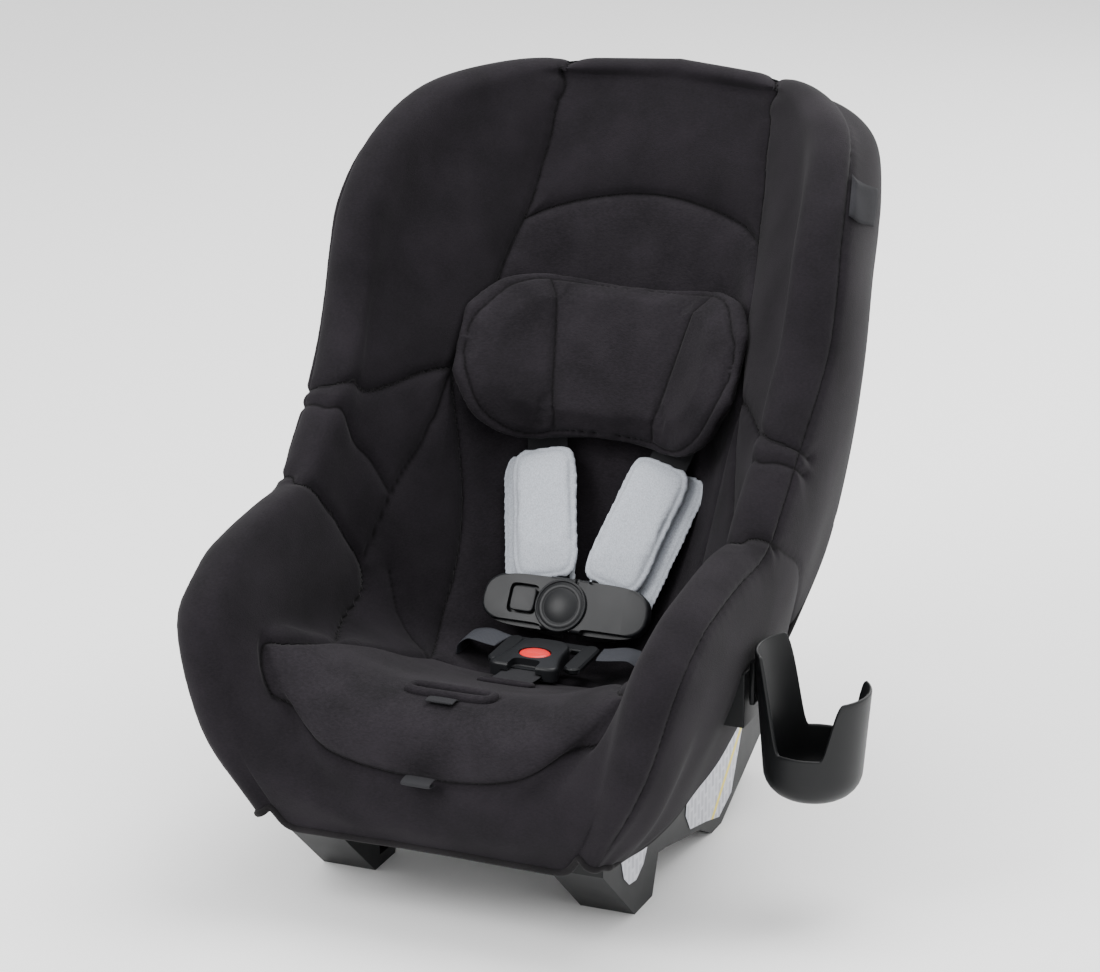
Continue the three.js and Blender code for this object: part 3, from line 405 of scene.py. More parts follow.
def seam_relief(points):
    """How far each point moves in, from its distance to every seam, and how close a seam is."""
    flat = points.reshape(-1, 3)
    nearest = np.full(len(flat), 1e3)
    valley = np.zeros(len(flat))
    pucker = np.zeros(len(flat))
    for route, depth, width in SEAMS:
        path = seam_route(route)
        line = on_cover(path[:, 0], path[:, 1])
        length = np.concatenate([[0], np.cumsum(np.linalg.norm(np.diff(line, axis=0), axis=1))])
        low, high = line.min(0) - SEARCH, line.max(0) + SEARCH
        close = np.flatnonzero(((flat > low) & (flat < high)).all(1))
        for part in np.array_split(close, max(len(close) // AT_ONCE, 1)):
            gap = np.linalg.norm(flat[part, None] - line[None], axis=2)
            best = gap.argmin(1)
            gap = gap[np.arange(len(part)), best]
            valley[part] = np.maximum(valley[part], depth * np.exp(-(gap / width) ** 1.6))
            wave = np.sin(length[best] * 2 * np.pi / PUCKER_LENGTH
                          + 2 * np.sin(length[best] / PUCKER_SWAY))
            ripple = PUCKER * wave * np.exp(-gap / PUCKER_FADE)
            pucker[part] = np.where(gap < nearest[part], ripple, pucker[part])
            nearest[part] = np.minimum(nearest[part], gap)
    out = PUFF * (1 - np.exp(-(nearest / PUFF_REACH) ** 1.5))
    shape = points.shape[:2]
    return (valley + pucker - out).reshape(shape), nearest.reshape(shape)


def step(value):
    """A smooth step from 0 to 1 as the value goes from 0 to 1."""
    value = np.clip(value, 0, 1)
    return value * value * (3 - 2 * value)


relief, seam_gap = seam_relief(face_points)
relief *= step(grid_u / 0.8)  # the hem is pulled flat by its binding
soft_points = face_points + inward * relief[..., None]
SEAM_LINE = 1.1  # half width of the painted shade along each seam's crease


def inside(route, u, v):
    """True where (u, v) lies inside a closed route, by counting the edges to one side."""
    found = np.zeros(u.shape, bool)
    for (u0, v0), (u1, v1) in zip(route, np.roll(route, -1, axis=0)):
        crosses = (v0 > v) != (v1 > v)
        with np.errstate(divide="ignore", invalid="ignore"):
            found ^= crosses & (u < (u1 - u0) * (v - v0) / (v1 - v0) + u0)
    return found


def along_v(route, v):
    """A route's u at each v."""
    path = seam_route(route)
    order = np.argsort(path[:, 1])
    return np.interp(v, path[order, 1], path[order, 0])


def along_u(route, u):
    """A route's v at each u."""
    path = seam_route(route)
    order = np.argsort(path[:, 0])
    return np.interp(u, path[order, 0], path[order, 1])


# ---- Cover: panels ------------------------------------------------------------------------------
# One sewn cover of ten panels over foam: cushion, back and head inserts, the bolster that runs
# round the front and over the armrests, and a side, wing and outside panel on each side.
BIGHT, WING_FOOT, TOP_ROLL = 6.5, 10.3, 16.05  # u of the back's foot, the wing's and the top roll
mid_u = (grid_u[1:, 1:] + grid_u[:-1, :-1]) / 2
mid_v = (grid_v[1:, 1:] + grid_v[:-1, :-1]) / 2
outline = np.concatenate([seam_route(CUSHION_SEAM), [(BIGHT, 1.6), (BIGHT, -0.5), (2.1, -0.5)]])
is_cushion = inside(outline, mid_u, mid_v)
is_outside = mid_v > along_u(PIPING_SEAM, mid_u)
centre_edge = np.where(mid_u < WING_FOOT, along_u(BACK_SEAM, mid_u), along_u(WING_SEAM, mid_u))
is_centre = (mid_v < centre_edge) & (mid_u > BIGHT) & ~is_cushion & ~is_outside
is_head = is_centre & (mid_u > along_v(ARCH_SEAM, mid_v))
is_head |= ~is_outside & (mid_u > TOP_ROLL)
is_wing = ~is_centre & ~is_head & ~is_outside & (mid_u > along_v(LOW_WING_SEAM, mid_v))
is_arm = ~is_cushion & ~is_outside & ~is_centre & (mid_u < along_v(ARM_SEAM, mid_v))
is_arm |= ~is_cushion & ~is_outside & (mid_v < 4.3) & (mid_u < 5)
is_side = ~(is_cushion | is_outside | is_centre | is_head | is_wing | is_arm)

ADJUSTER = (0, -236)  # middle of the adjuster's slot in the cushion
ADJUSTER_HALF = (31, 5.5)
CROTCH = (0, -127)
CROTCH_HALF = (19, 5)
CUSHION_FRONT, CUSHION_REAR = 2.5, 6.4  # u of the stretch of cushion that has the slots
middle = (face_points[1:, 1:] + face_points[:-1, :-1]) / 2


def in_slot(place, half):
    """The faces of the cushion that a slot leaves out."""
    return (np.abs(middle[..., 0] - place[0]) < half[0]) & (
        np.abs(middle[..., 1] - place[1]) < half[1]) & (mid_u < CUSHION_REAR) & (mid_v < 2)


is_cushion &= ~in_slot(ADJUSTER, ADJUSTER_HALF) & ~in_slot(CROTCH, CROTCH_HALF)
CLOTH = 3.0  # the cover's thickness at its free edges


def panel(name, chosen, sides, material, *nodes):
    """The chosen faces of the cover, on the child's left (1), right (-1) or both sides."""
    rows, columns = grid_u.shape
    points, faces, seam_shade = [], [], []
    quads = grid_faces(rows, columns).reshape(rows - 1, columns - 1, 4)[chosen]
    used, compact = np.unique(quads, return_inverse=True)
    compact = compact.reshape(-1, 4)
    for side in sides:
        start = sum(len(p) for p in points)
        points.append(soft_points.reshape(-1, 3)[used] * (side, 1, 1))
        faces.append((compact if side > 0 else compact[:, ::-1]) + start)
        # Painted seam shade: each point's share of the near-black crease line, from its distance to
        # the nearest seam.
        seam_shade.append(np.exp(-(seam_gap.reshape(-1)[used] / SEAM_LINE) ** 2))
    obj = mesh_object(name, np.concatenate(points), np.concatenate(faces), material)
    values = obj.data.attributes.new("seam_shade", "FLOAT", "POINT")
    values.data.foreach_set("value", np.concatenate(seam_shade).astype(np.float32))
    cleaned(obj, merge=0.02, turn_out=False)
    solid = obj.modifiers.new("cloth", "SOLIDIFY")
    solid.thickness = CLOTH * MM
    solid.offset = -1
    finish_piece(obj, "root", "cover_fabric", *nodes)
    return obj


BOTH = (1, -1)
panel("cushion_cover", is_cushion, BOTH, insert_knit, "seat_cushion")
panel("back_cover", is_centre & ~is_head, BOTH, insert_knit, "back_pad")
panel("head_cover", is_head, BOTH, charcoal_knit, "head_panel")
panel("bolster_cover", is_arm, BOTH, charcoal_knit, "front_skirt", "armrest_pad_left",
      "armrest_pad_right")
for word, side in (("left", 1), ("right", -1)):
    panel(f"side_cover_{word}", is_side, (side,), charcoal_knit, f"side_pad_{word}")
    panel(f"wing_cover_{word}", is_wing, (side,), charcoal_knit, f"wing_pad_{word}",
          f"wing_foam_{word}")
    panel(f"outside_cover_{word}", is_outside, (side,), charcoal_knit, f"outer_panel_{word}")


# ---- Cover: hem and slot edges ------------------------------------------------------------------
# The hem is bound with a folded elastic tape that holds the cover under the bucket's edge, and
# the two slots in the cushion have a rolled edge.
def tube(name, path, radius, material, closed=False, sides=10):
    """A round cord along a path: at each point a ring square to it."""
    path = np.asarray(path, float)
    along = unit(np.roll(path, -1, 0) - np.roll(path, 1, 0)) if closed else unit(
        np.gradient(path, axis=0))
    reference = np.where(np.abs(along[:, 2:3]) < 0.85, [[0.0, 0, 1]], [[0.0, 1, 0]])
    across = unit(np.cross(along, reference))
    up = np.cross(across, along)
    turn = np.linspace(0, 2 * np.pi, sides, endpoint=False)[None, :, None]
    radius = np.broadcast_to(radius, len(path))[:, None, None]
    rings = path[:, None] + radius * (np.cos(turn) * across[:, None]
                                      + np.sin(turn) * up[:, None])
    faces = grid_faces(len(path), sides, wrap=True)
    if closed:
        last = (len(path) - 1) * sides
        j = np.arange(sides)
        k = (j + 1) % sides
        faces = np.concatenate([faces, np.stack([last + j, last + k, k, j], 1)])
        faces = faces.tolist()
    else:
        end = (len(path) - 1) * sides
        faces = faces.tolist() + [list(range(sides))[::-1], [end + j for j in range(sides)]]
    return cleaned(mesh_object(name, rings, faces, material))


binding = knit("elastic_binding", "#131213", "#1e1c1e", 0.8, 0.05, 0.4)
hem_half = np.concatenate([on_cover(np.zeros(60), np.linspace(0, HEM, 60)),
                           on_cover(np.linspace(0.1, TOP, 150), np.full(150, float(HEM)))])
hem_loop = np.concatenate([hem_half, (hem_half * (-1, 1, 1))[::-1][1:-1]])
finish_piece(tube("hem_binding", hem_loop, 3.0, binding, closed=True), "root", "cover_fabric")


def slot_edge(name, place, half, radius, material):
    """A rolled edge round a slot: a rounded rectangle laid on the cushion's surface."""
    turn = np.linspace(0, 2 * np.pi, 72, endpoint=False)
    corner = 0.45
    x = place[0] + half[0] * np.sign(np.cos(turn)) * np.abs(np.cos(turn)) ** corner
    y = place[1] + half[1] * np.sign(np.sin(turn)) * np.abs(np.sin(turn)) ** corner
    spine = soft_points[(U > CUSHION_FRONT) & (U < CUSHION_REAR), 0]
    z = np.interp(y, spine[:, 1], spine[:, 2])
    return tube(name, np.stack([x, y, z + 0.8], 1), radius, material, closed=True)


finish_piece(slot_edge("adjuster_slot_edge", ADJUSTER, (35, 8.5), 4.4, insert_knit),
             "root", "cover_fabric")
finish_piece(slot_edge("crotch_slot_edge", CROTCH, (22, 6.5), 2.6, insert_knit),
             "root", "cover_fabric")


# ---- Soft pieces filled by simulation -----------------------------------------------------------
# The head pillow and the shoulder pads are sewn sleeves over wadding. Each is drawn a little
# small, remeshed, and blown up as cloth, with the movement of each point capped.
FILL_FRAMES = 20


def swell(obj, voxel, pressure, cap):
    """Fills a closed piece as a cloth bag: even remesh, frames of pressure, movement capped."""
    remesh = obj.modifiers.new("even", "REMESH")
    remesh.mode = "VOXEL"
    remesh.voxel_size = voxel * MM
    even = with_modifiers(obj).data
    before = np.empty(len(even.vertices) * 3)
    even.vertices.foreach_get("co", before)
    after = before
    cloth = obj.modifiers.new("cloth", "CLOTH")
    cloth.settings.use_pressure = True
    cloth.settings.uniform_pressure_force = pressure
    cloth.settings.effector_weights.gravity = 0
    cloth.settings.quality = 5
    cloth.point_cache.frame_start, cloth.point_cache.frame_end = 1, FILL_FRAMES
    for moment in range(1, FILL_FRAMES + 1):
        bpy.context.scene.frame_set(moment)
    graph = bpy.context.evaluated_depsgraph_get()
    after = np.empty(len(even.vertices) * 3)
    obj.evaluated_get(graph).data.vertices.foreach_get("co", after)
    obj.modifiers.clear()
    bpy.context.scene.frame_set(1)
    move = (after - before).reshape(-1, 3)
    reach = np.linalg.norm(move, axis=1, keepdims=True)
    move *= np.minimum(1, cap * MM / np.maximum(reach, 1e-9))
    even.vertices.foreach_set("co", (before.reshape(-1, 3) + move).ravel())
    finer = obj.modifiers.new("finer", "SUBSURF")
    finer.levels = finer.render_levels = 1
    smooth = with_modifiers(obj).data
    smooth.polygons.foreach_set("use_smooth", [True] * len(smooth.polygons))
    return obj


def vertices_of(obj):
    """The piece's points in millimetres."""
    points = np.empty(len(obj.data.vertices) * 3)
    obj.data.vertices.foreach_get("co", points)
    return points.reshape(-1, 3) / MM


def normals_of(obj):
    """The piece's outward normals at its points."""
    normals = np.empty(len(obj.data.vertices) * 3)
    obj.data.vertex_normals.foreach_get("vector", normals)
    return normals.reshape(-1, 3)


def press_seams(obj, lines, depth, width):
    """Presses sewn lines into a filled piece, and marks them for the fabric's painted shade along the
    crease.
    """
    points, normals = vertices_of(obj), normals_of(obj)
    gap = np.full(len(points), 1e3)
    skin = BVHTree.FromPolygons((points * MM).tolist(), [f.vertices[:] for f in obj.data.polygons])
    for line in lines:
        line = np.array([skin.find_nearest(Vector(p * MM))[0] for p in line]) / MM
        for part in np.array_split(np.arange(len(points)), max(len(points) // 8000, 1)):
            reach = np.linalg.norm(points[part, None] - line[None], axis=2).min(1)
            gap[part] = np.minimum(gap[part], reach)
    points -= normals * (depth * np.exp(-(gap / width) ** 1.6))[:, None]
    obj.data.vertices.foreach_set("co", (points * MM).ravel())
    # Painted shade along the pressed lines, read by the fabric's material.
    values = obj.data.attributes.new("seam_shade", "FLOAT", "POINT")
    values.data.foreach_set("value", np.exp(-(gap / SEAM_LINE) ** 2).astype(np.float32))


# ---- Head pillow --------------------------------------------------------------------------------
# An infant head pillow: a flat middle and two lobes that curve forward, in a knit sleeve with two
# slanted seams across its face and a seam all round between the face and the gusset.
PILLOW = np.array([0, 128, 362.0])
PILLOW_UP = np.array([0, 0.572, 0.82])
PILLOW_OUT = np.array([0, -0.82, 0.572])
PILLOW_BEND = [(0, 0), (37, 1), (62, 6), (86, 23), (108, 44), (125, 65)]
PILLOW_TOP = [70, 70, 69, 63, 47, 14]
PILLOW_FOOT = [-78, -80, -85, -87, -77, -47]


def pillow_point(s, t, face):
    """The pillow at s across from -1 to 1 and t up it from -1 to 1, on its face (1) or back."""
    at = np.abs(s) * (len(PILLOW_BEND) - 1)
    bend = catmull(PILLOW_BEND, at)
    last = len(PILLOW_BEND) - 1
    slope = unit(catmull(PILLOW_BEND, np.minimum(at + 0.1, last))
                 - catmull(PILLOW_BEND, np.maximum(at - 0.1, 0)))
    ends = catmull(np.stack([PILLOW_FOOT, PILLOW_TOP], 1), at)
    up = ends[..., 0] + (t + 1) / 2 * (ends[..., 1] - ends[..., 0])
    full = np.sqrt(np.maximum(1 - t ** 6, 0)) * np.sqrt(np.maximum(1 - np.abs(s) ** 8, 0))
    half = np.where(face > 0, 2 + 11 * full, 2 + 4.5 * full)
    x = np.sign(s) * (bend[..., 0] - face * half * slope[..., 1])
    out = bend[..., 1] + face * half * slope[..., 0]
    return (PILLOW + x[..., None] * (1, 0, 0) + up[..., None] * PILLOW_UP
            + out[..., None] * PILLOW_OUT)


def pillow_grid(rows=73, columns=41):
    """The closed pillow: its face grid, and its back grid joined along all four edges."""
    s, t = np.meshgrid(np.linspace(-1, 1, rows), np.linspace(-1, 1, columns), indexing="ij")
    front, back = pillow_point(s, t, 1.0), pillow_point(s, t, -1.0)
    quads = grid_faces(rows, columns)
    n = rows * columns
    i = np.arange(n).reshape(rows, columns)
    rim = np.concatenate([i[:-1, 0], i[-1, :-1], i[:0:-1, -1], i[0, :0:-1]])
    following = np.roll(rim, -1)
    sides = np.stack([rim, following, following + n, rim + n], 1)
    return np.concatenate([front.reshape(-1, 3), back.reshape(-1, 3)]), np.concatenate(
        [quads, quads[:, ::-1] + n, sides])


def closed_piece(name, points, faces, material):
    """A closed mesh with its doubles merged and its faces turned out."""
    return cleaned(mesh_object(name, points, faces, material), merge=0.01)


pillow = swell(closed_piece("pillow", *pillow_grid(), insert_knit), 3.6, 4, 5)
EDGE_INSET = 0.975  # the welt seam's place between the pillow's middle and its rim
turn = np.linspace(0, 2 * np.pi, 500)
WELT_CORNERS = (0.55, 0.45)  # powers that square its corners, across and up
ring_s = EDGE_INSET * np.sign(np.cos(turn)) * np.abs(np.cos(turn)) ** WELT_CORNERS[0]
ring_t = 0.99 * np.sign(np.sin(turn)) * np.abs(np.sin(turn)) ** WELT_CORNERS[1]
welt = pillow_point(ring_s, ring_t, np.ones(500)) + 3 * PILLOW_OUT
SEAM_TOP, SEAM_FOOT = 0.5, 0.24  # where the slanted seams meet the upper and lower edges
slanted = [pillow_point(side * np.linspace(SEAM_FOOT, SEAM_TOP, 160), np.linspace(-0.95, 0.95, 160),
                        np.ones(160)) + 3 * PILLOW_OUT for side in BOTH]
press_seams(pillow, [welt, *slanted], 3.0, 3.2)
finish_piece(pillow, "pillow", "cover_fabric", "head_pillow")


# ---- Shoulder pads ------------------------------------------------------------------------------
# Each harness strap runs through a folded pad: a thick front half and a thin rear flap, in pale
# grey heather jersey that is edge-stitched all round, a few millimetres in.
def heather_jersey():
    """Pale grey jersey of mixed light and mid-grey fibres, with fine ribs up the pad."""
    material, tree, shader = new_material("grey_heather_jersey")
    place = add(tree, "TexCoord").outputs["Object"]
    long_way = add(tree, "Mapping", {"Vector": place, "Scale": (1, 0.5, 0.5)}).outputs[0]
    fibres = add(tree, "TexNoise", {"Vector": long_way, "Scale": 1500, "Detail": 2,
                                    "Roughness": 0.6}).outputs["Fac"]
    spread = add(tree, "MapRange", {"Value": fibres, "From Min": 0.36, "From Max": 0.62})
    tint = add(tree, "Mix", {0: spread.outputs[0], 6: hex_linear("#a3a8b1"),
                             7: hex_linear("#c0c5cd")}, data_type="RGBA").outputs[2]
    # A faint painted shade along the pressed edge stitching.
    seam_shade = add(tree, "Attribute", attribute_name="seam_shade").outputs["Fac"]
    faint = add(tree, "Math", {0: seam_shade, 1: 0.2}, operation="MULTIPLY").outputs[0]
    shade = add(tree, "Mix", {0: faint, 6: tint, 7: hex_linear("#5c6068")},
                data_type="RGBA").outputs[2]
    relief = add(tree, "Bump", {"Height": fibres, "Strength": 0.3, "Distance": 0.25 * MM})
    tree.links.new(shade, shader.inputs["Base Color"])
    tree.links.new(relief.outputs[0], shader.inputs["Normal"])
    shader.inputs["Roughness"].default_value = 0.95
    shader.inputs["Sheen Weight"].default_value = 0.2
    return material


jersey = heather_jersey()
HARNESS_OUT = np.array([0, -0.838, 0.546])
PAD_TOP, PAD_FOOT = np.array([57, 88, 297.0]), np.array([27, 20, 194.0])
PAD_UP = unit(PAD_TOP - PAD_FOOT)
PAD_ACROSS = np.cross(PAD_UP, HARNESS_OUT)
PAD_LENGTH = np.linalg.norm(PAD_TOP - PAD_FOOT)
PAD_FRONT, WEBBING, GAP = 12.0, 1.8, 0.5


def pad_point(across, along, out):
    """A point of the left pad's frame: across it, up it as a share of its length, out of it."""
    return PAD_FOOT + np.multiply.outer(across, PAD_ACROSS) + np.multiply.outer(
        along * PAD_LENGTH, PAD_UP) + np.multiply.outer(out, HARNESS_OUT)


def cushion_grid(wide, foot, top, front, back, corner):
    """A flat bag: a rounded rectangle whose thickness falls to a thin edge all round."""
    ring = np.linspace(0, 2 * np.pi, 120, endpoint=False)
    share = np.sin(np.linspace(0, np.pi / 2, 14))
    reach = (np.abs(np.cos(ring)) ** corner + np.abs(np.sin(ring)) ** corner) ** (-1 / corner)
    across = np.multiply.outer(share, reach * np.cos(ring)) * wide / 2
    along = (foot + top) / 2 + np.multiply.outer(share, reach * np.sin(ring)) * (top - foot) / 2
    thick = np.sqrt(np.maximum(1 - share ** 5, 0))[:, None] * np.ones_like(across)
    middle = (front + back) / 2
    faces = grid_faces(14, 120, wrap=True)
    upper = pad_point(across, along, middle + (front - middle) * thick)
    lower = pad_point(across, along, middle - (middle - back) * thick)
    n = 14 * 120
    return np.concatenate([upper.reshape(-1, 3), lower.reshape(-1, 3)]), np.concatenate(
        [faces, faces[:, ::-1] + n])


def stitch_line(wide, foot, top, out, corner, inset):
    """The edge stitching: the pad's outline, moved in by a margin."""
    ring = np.linspace(0, 2 * np.pi, 400)
    reach = (np.abs(np.cos(ring)) ** corner + np.abs(np.sin(ring)) ** corner) ** (-1 / corner)
    across = reach * np.cos(ring) * (wide / 2 - inset)
    along = (foot + top) / 2 + reach * np.sin(ring) * ((top - foot) / 2 - inset / PAD_LENGTH)
    return pad_point(across, along, np.full(400, float(out)))


REAR_DEPTH = PAD_FRONT + 2 * GAP + WEBBING
STITCH_INSET = 4.5
# Each size is a width, the foot and top as shares of the pad's length, the front and back faces'
# place out from the strap, and the power of its rounded corners.
for word, side in (("left", 1), ("right", -1)):
    for name, shift, size, node in (
            ("pad_front", 1, (60, 0.0, 0.94, -0.8, -PAD_FRONT + 0.8, 5.5), "shoulder_pad_"),
            ("pad_flap", 10, (66, -0.17, 0.92, -REAR_DEPTH - 0.2, -REAR_DEPTH - 4.6, 7),
             "shoulder_pad_back_")):
        points, faces = cushion_grid(*size)
        pad = closed_piece(f"{name}_{word}", (points + (shift, 0, 0)) * (side, 1, 1), faces, jersey)
        front = name == "pad_front"
        swell(pad, 2.6 if front else 1.6, 4, 2.2 if front else 0.7)
        line = stitch_line(*size[:4], size[5], STITCH_INSET)
        press_seams(pad, [(line + (shift, 0, 0)) * (side, 1, 1)], 0.7 if front else 0.4, 1.8)
        finish_piece(pad, "root", "pad_fabric", node + word)


# ---- Harness webbing ----------------------------------------------------------------------------
# Flat woven polyester, 36 mm wide on the shoulders, with ribs along it and a fine cross weave.
def woven_webbing(name, dark, light):
    """Webbing that reads its own UV map in metres: ribs 2.4 mm apart, picks 1.2 mm apart."""
    material, tree, shader = new_material(name)
    place = add(tree, "UVMap").outputs["UV"]
    split = add(tree, "SeparateXYZ", {0: place})
    ribs = add(tree, "Math", {0: split.outputs["X"], 1: 2 * math.pi / 0.0024},
               operation="MULTIPLY").outputs[0]
    picks = add(tree, "Math", {0: split.outputs["Y"], 1: 2 * math.pi / 0.0012},
                operation="MULTIPLY").outputs[0]
    waves = [add(tree, "Math", {0: value}, operation="SINE").outputs[0] for value in (ribs, picks)]
    weave = add(tree, "Math", {0: waves[0], 1: waves[1]}, operation="MULTIPLY").outputs[0]
    level = add(tree, "MapRange", {"Value": weave, "From Min": -1.0}).outputs[0]
    tint = add(tree, "Mix", {0: level, 6: hex_linear(dark), 7: hex_linear(light)},
               data_type="RGBA").outputs[2]
    relief = add(tree, "Bump", {"Height": level, "Strength": 0.6, "Distance": 0.3 * MM})
    tree.links.new(tint, shader.inputs["Base Color"])
    tree.links.new(relief.outputs[0], shader.inputs["Normal"])
    shader.inputs["Roughness"].default_value = 0.75
    shader.inputs["Specular IOR Level"].default_value = 0.2
    return material


webbing = woven_webbing("woven_polyester_webbing", "#171719", "#2b2b2e")
grey_webbing = woven_webbing("grey_polyester_webbing", "#26272b", "#45474d")


def strap(name, route, facing, width, material, thick=WEBBING, steps=60, mirror=1, wave=0.0):
    """A flat band carried along a smooth route: a thin rounded section, wide across the route."""
    t = np.linspace(0, len(route) - 1, steps)
    line = catmull(route, t)
    along = unit(np.gradient(line, axis=0))
    face = catmull(facing, t)
    face = unit(face - (face * along).sum(1, keepdims=True) * along)
    across = np.cross(along, face)
    edge = np.linspace(0, 2 * np.pi, 28, endpoint=False)
    wide = np.sign(np.cos(edge)) * np.abs(np.cos(edge)) ** 0.5 * width / 2
    high = np.sign(np.sin(edge)) * np.abs(np.sin(edge)) ** 0.8 * thick / 2
    ripple = wave * np.sin(t[:, None] * 3.1 + wide[None] / width * 5)
    rings = line[:, None] + wide[None, :, None] * across[:, None] + (
        high[None] + ripple)[..., None] * face[:, None]
    count = len(edge)
    end = (steps - 1) * count
    faces = grid_faces(steps, count, wrap=True).tolist() + [
        list(range(count))[::-1], [end + j for j in range(count)]]
    obj = mesh_object(name, rings * (mirror, 1, 1), faces, material)
    length = np.concatenate([[0], np.cumsum(np.linalg.norm(np.diff(line, axis=0), axis=1))])
    uv = np.stack(np.broadcast_arrays(wide[None] * MM, length[:, None] * MM), -1).reshape(-1, 2)
    corners = np.empty(len(obj.data.loops), int)
    obj.data.loops.foreach_get("vertex_index", corners)
    obj.data.uv_layers.new(name="UVMap").data.foreach_set("uv", uv[corners].ravel())
    return cleaned(obj)


CLIP = np.array([0, -2, 180.0])
CLIP_UP = np.array([0, 0.546, 0.838])
BUCKLE = np.array([0, -62, 160.0])
BUCKLE_UP = unit(np.array([0, 1, 0.03]))
BUCKLE_OUT = unit(np.array([0, -0.03, 1]))
SLOT = np.array([52, 150, 352.0])
SPLITTER = np.array([0, 108, 205.0])
HIP = np.array([84, -22, 140.0])
strap_depth = -(PAD_FRONT + GAP + WEBBING / 2)
shoulder_route = [SPLITTER + (20, 8, 6), (38, 158, 290), SLOT + (0, 32, -16), SLOT + (0, 28, -1),
                  SLOT + (0, 10, 0), SLOT + (4, -8, -4), pad_point(0, 1.25, strap_depth),
                  pad_point(0, 1.0, strap_depth), pad_point(0, 0.5, strap_depth),
                  pad_point(0, 0.0, strap_depth), pad_point(0, -0.16, strap_depth),
                  (24, 10, 148)]
shoulder_faces = [(0, 0.9, -0.4), (0, 0.9, -0.4), (0, 1, 0.1), (0, 0.7, 0.7), (0, 0, 1),
                  (0, -0.5, 1), *[tuple(HARNESS_OUT)] * 6]
hip_route = [HIP + (0, 0, -28), HIP + (0, 0, -4), (81, -23, 148), (71, -25, 154),
             (58, -28, 154.5), (43.8, -30, 153)]
hip_faces = [(1, 0, 0), (1, 0, 0.1), (0.7, 0, 0.7), (0.2, 0, 1), (0, 0, 1), (0, 0, 1)]
for word, side in (("left", 1), ("right", -1)):
    finish_piece(strap(f"shoulder_webbing_{word}", shoulder_route, shoulder_faces, 36, webbing,
                       steps=140, mirror=side), "root", "webbing", f"shoulder_strap_{word}")
    finish_piece(strap(f"hip_webbing_{word}", hip_route, hip_faces, 30, grey_webbing,
                       mirror=side, wave=0.4), "root", "webbing", f"hip_strap_{word}")
crotch_route = [(0, CROTCH[1], 122), (0, CROTCH[1], 144), (0, CROTCH[1] + 5, 154),
                (0, CROTCH[1] + 22, 153.4), tuple(BUCKLE - 25 * BUCKLE_UP - 7 * BUCKLE_OUT)]
crotch_faces = [(0, -1, 0), (0, -1, 0.1), (0, -0.6, 0.8), (0, 0, 1), (0, 0, 1)]
finish_piece(strap("crotch_webbing", crotch_route, crotch_faces, 36, webbing), "root", "webbing",
             "crotch_strap")
adjuster_route = [(0, ADJUSTER[1] - 8, 159), (0, ADJUSTER[1] - 8, 175),
                  (0, ADJUSTER[1] - 10.5, 184), (0, ADJUSTER[1] - 17, 188.5),
                  (0, ADJUSTER[1] - 26, 188.5)]
adjuster_faces = [(0, -1, 0), (0, -1, 0.1), (0, -0.8, 0.6), (0, -0.2, 1), (0, 0, 1)]
finish_piece(strap("adjuster_webbing", adjuster_route, adjuster_faces, 24, webbing), "root",
             "webbing", "adjuster_strap")
LOOP = np.array([0, -298.5, 136])
loop_route = [LOOP + (0, 1, -2.4), LOOP + (0, -3, -2.4), LOOP + (0, -8, -1.6), LOOP + (0, -9.6, 0),
              LOOP + (0, -8, 1.6), LOOP + (0, -3, 2.4), LOOP + (0, 1, 2.4)]
loop_faces = [(0, 0, -1), (0, 0, -1), (0, -0.6, -0.8), (0, -1, 0), (0, -0.6, 0.8), (0, 0, 1),
              (0, 0, 1)]
finish_piece(strap("front_loop_webbing", loop_route, loop_faces, 25, webbing, thick=1.4), "root",
             "webbing", "front_loop")


# ---- Moulded plastics ---------------------------------------------------------------------------
# Black polypropylene from a spark-eroded tool: a fine grain that breaks up the highlight, with
# slightly lighter and duller patches.
def moulded(name, dark, light, roughness, grain, bump):
    """A moulded plastic with a grain of that many millimetres."""
    material, tree, shader = new_material(name)
    place = add(tree, "TexCoord").outputs["Object"]
    fine = add(tree, "TexNoise", {"Vector": place, "Scale": 1 / (grain * MM), "Detail": 2}
               ).outputs["Fac"]
    wide = add(tree, "TexNoise", {"Vector": place, "Scale": 16, "Detail": 3}).outputs["Fac"]
    tint = add(tree, "Mix", {0: wide, 6: hex_linear(dark), 7: hex_linear(light)},
               data_type="RGBA").outputs[2]
    rough = add(tree, "MapRange", {"Value": wide, "From Min": 0.3, "From Max": 0.7,
                                   "To Min": roughness - 0.06, "To Max": roughness + 0.06})
    relief = add(tree, "Bump", {"Height": fine, "Strength": bump, "Distance": 0.2 * MM})
    tree.links.new(tint, shader.inputs["Base Color"])
    tree.links.new(rough.outputs[0], shader.inputs["Roughness"])
    tree.links.new(relief.outputs[0], shader.inputs["Normal"])
    shader.inputs["Specular IOR Level"].default_value = 0.22
    return material


black_plastic = moulded("moulded_black_polypropylene", "#101112", "#161718", 0.45, 0.7, 0.35)
satin_plastic = moulded("satin_black_nylon", "#18191b", "#202123", 0.38, 0.5, 0.15)
red_plastic = moulded("moulded_red_abs", "#d92a2c", "#e63a38", 0.3, 0.5, 0.1)


def plated_steel():
    """Zinc-plated steel: a bright satin metal with faint cloudy spangle."""
    material, tree, shader = new_material("zinc_plated_steel")
    place = add(tree, "TexCoord").outputs["Object"]
    spangle = add(tree, "TexVoronoi", {"Vector": place, "Scale": 160}).outputs["Color"]
    level = add(tree, "SeparateXYZ", {0: spangle}).outputs["X"]
    tint = add(tree, "Mix", {0: level, 6: hex_linear("#9a9ca0"), 7: hex_linear("#b8babd")},
               data_type="RGBA").outputs[2]
    rough = add(tree, "MapRange", {"Value": level, "To Min": 0.28, "To Max": 0.4}).outputs[0]
    tree.links.new(tint, shader.inputs["Base Color"])
    tree.links.new(rough, shader.inputs["Roughness"])
    shader.inputs["Metallic"].default_value = 1.0
    return material


steel = plated_steel()


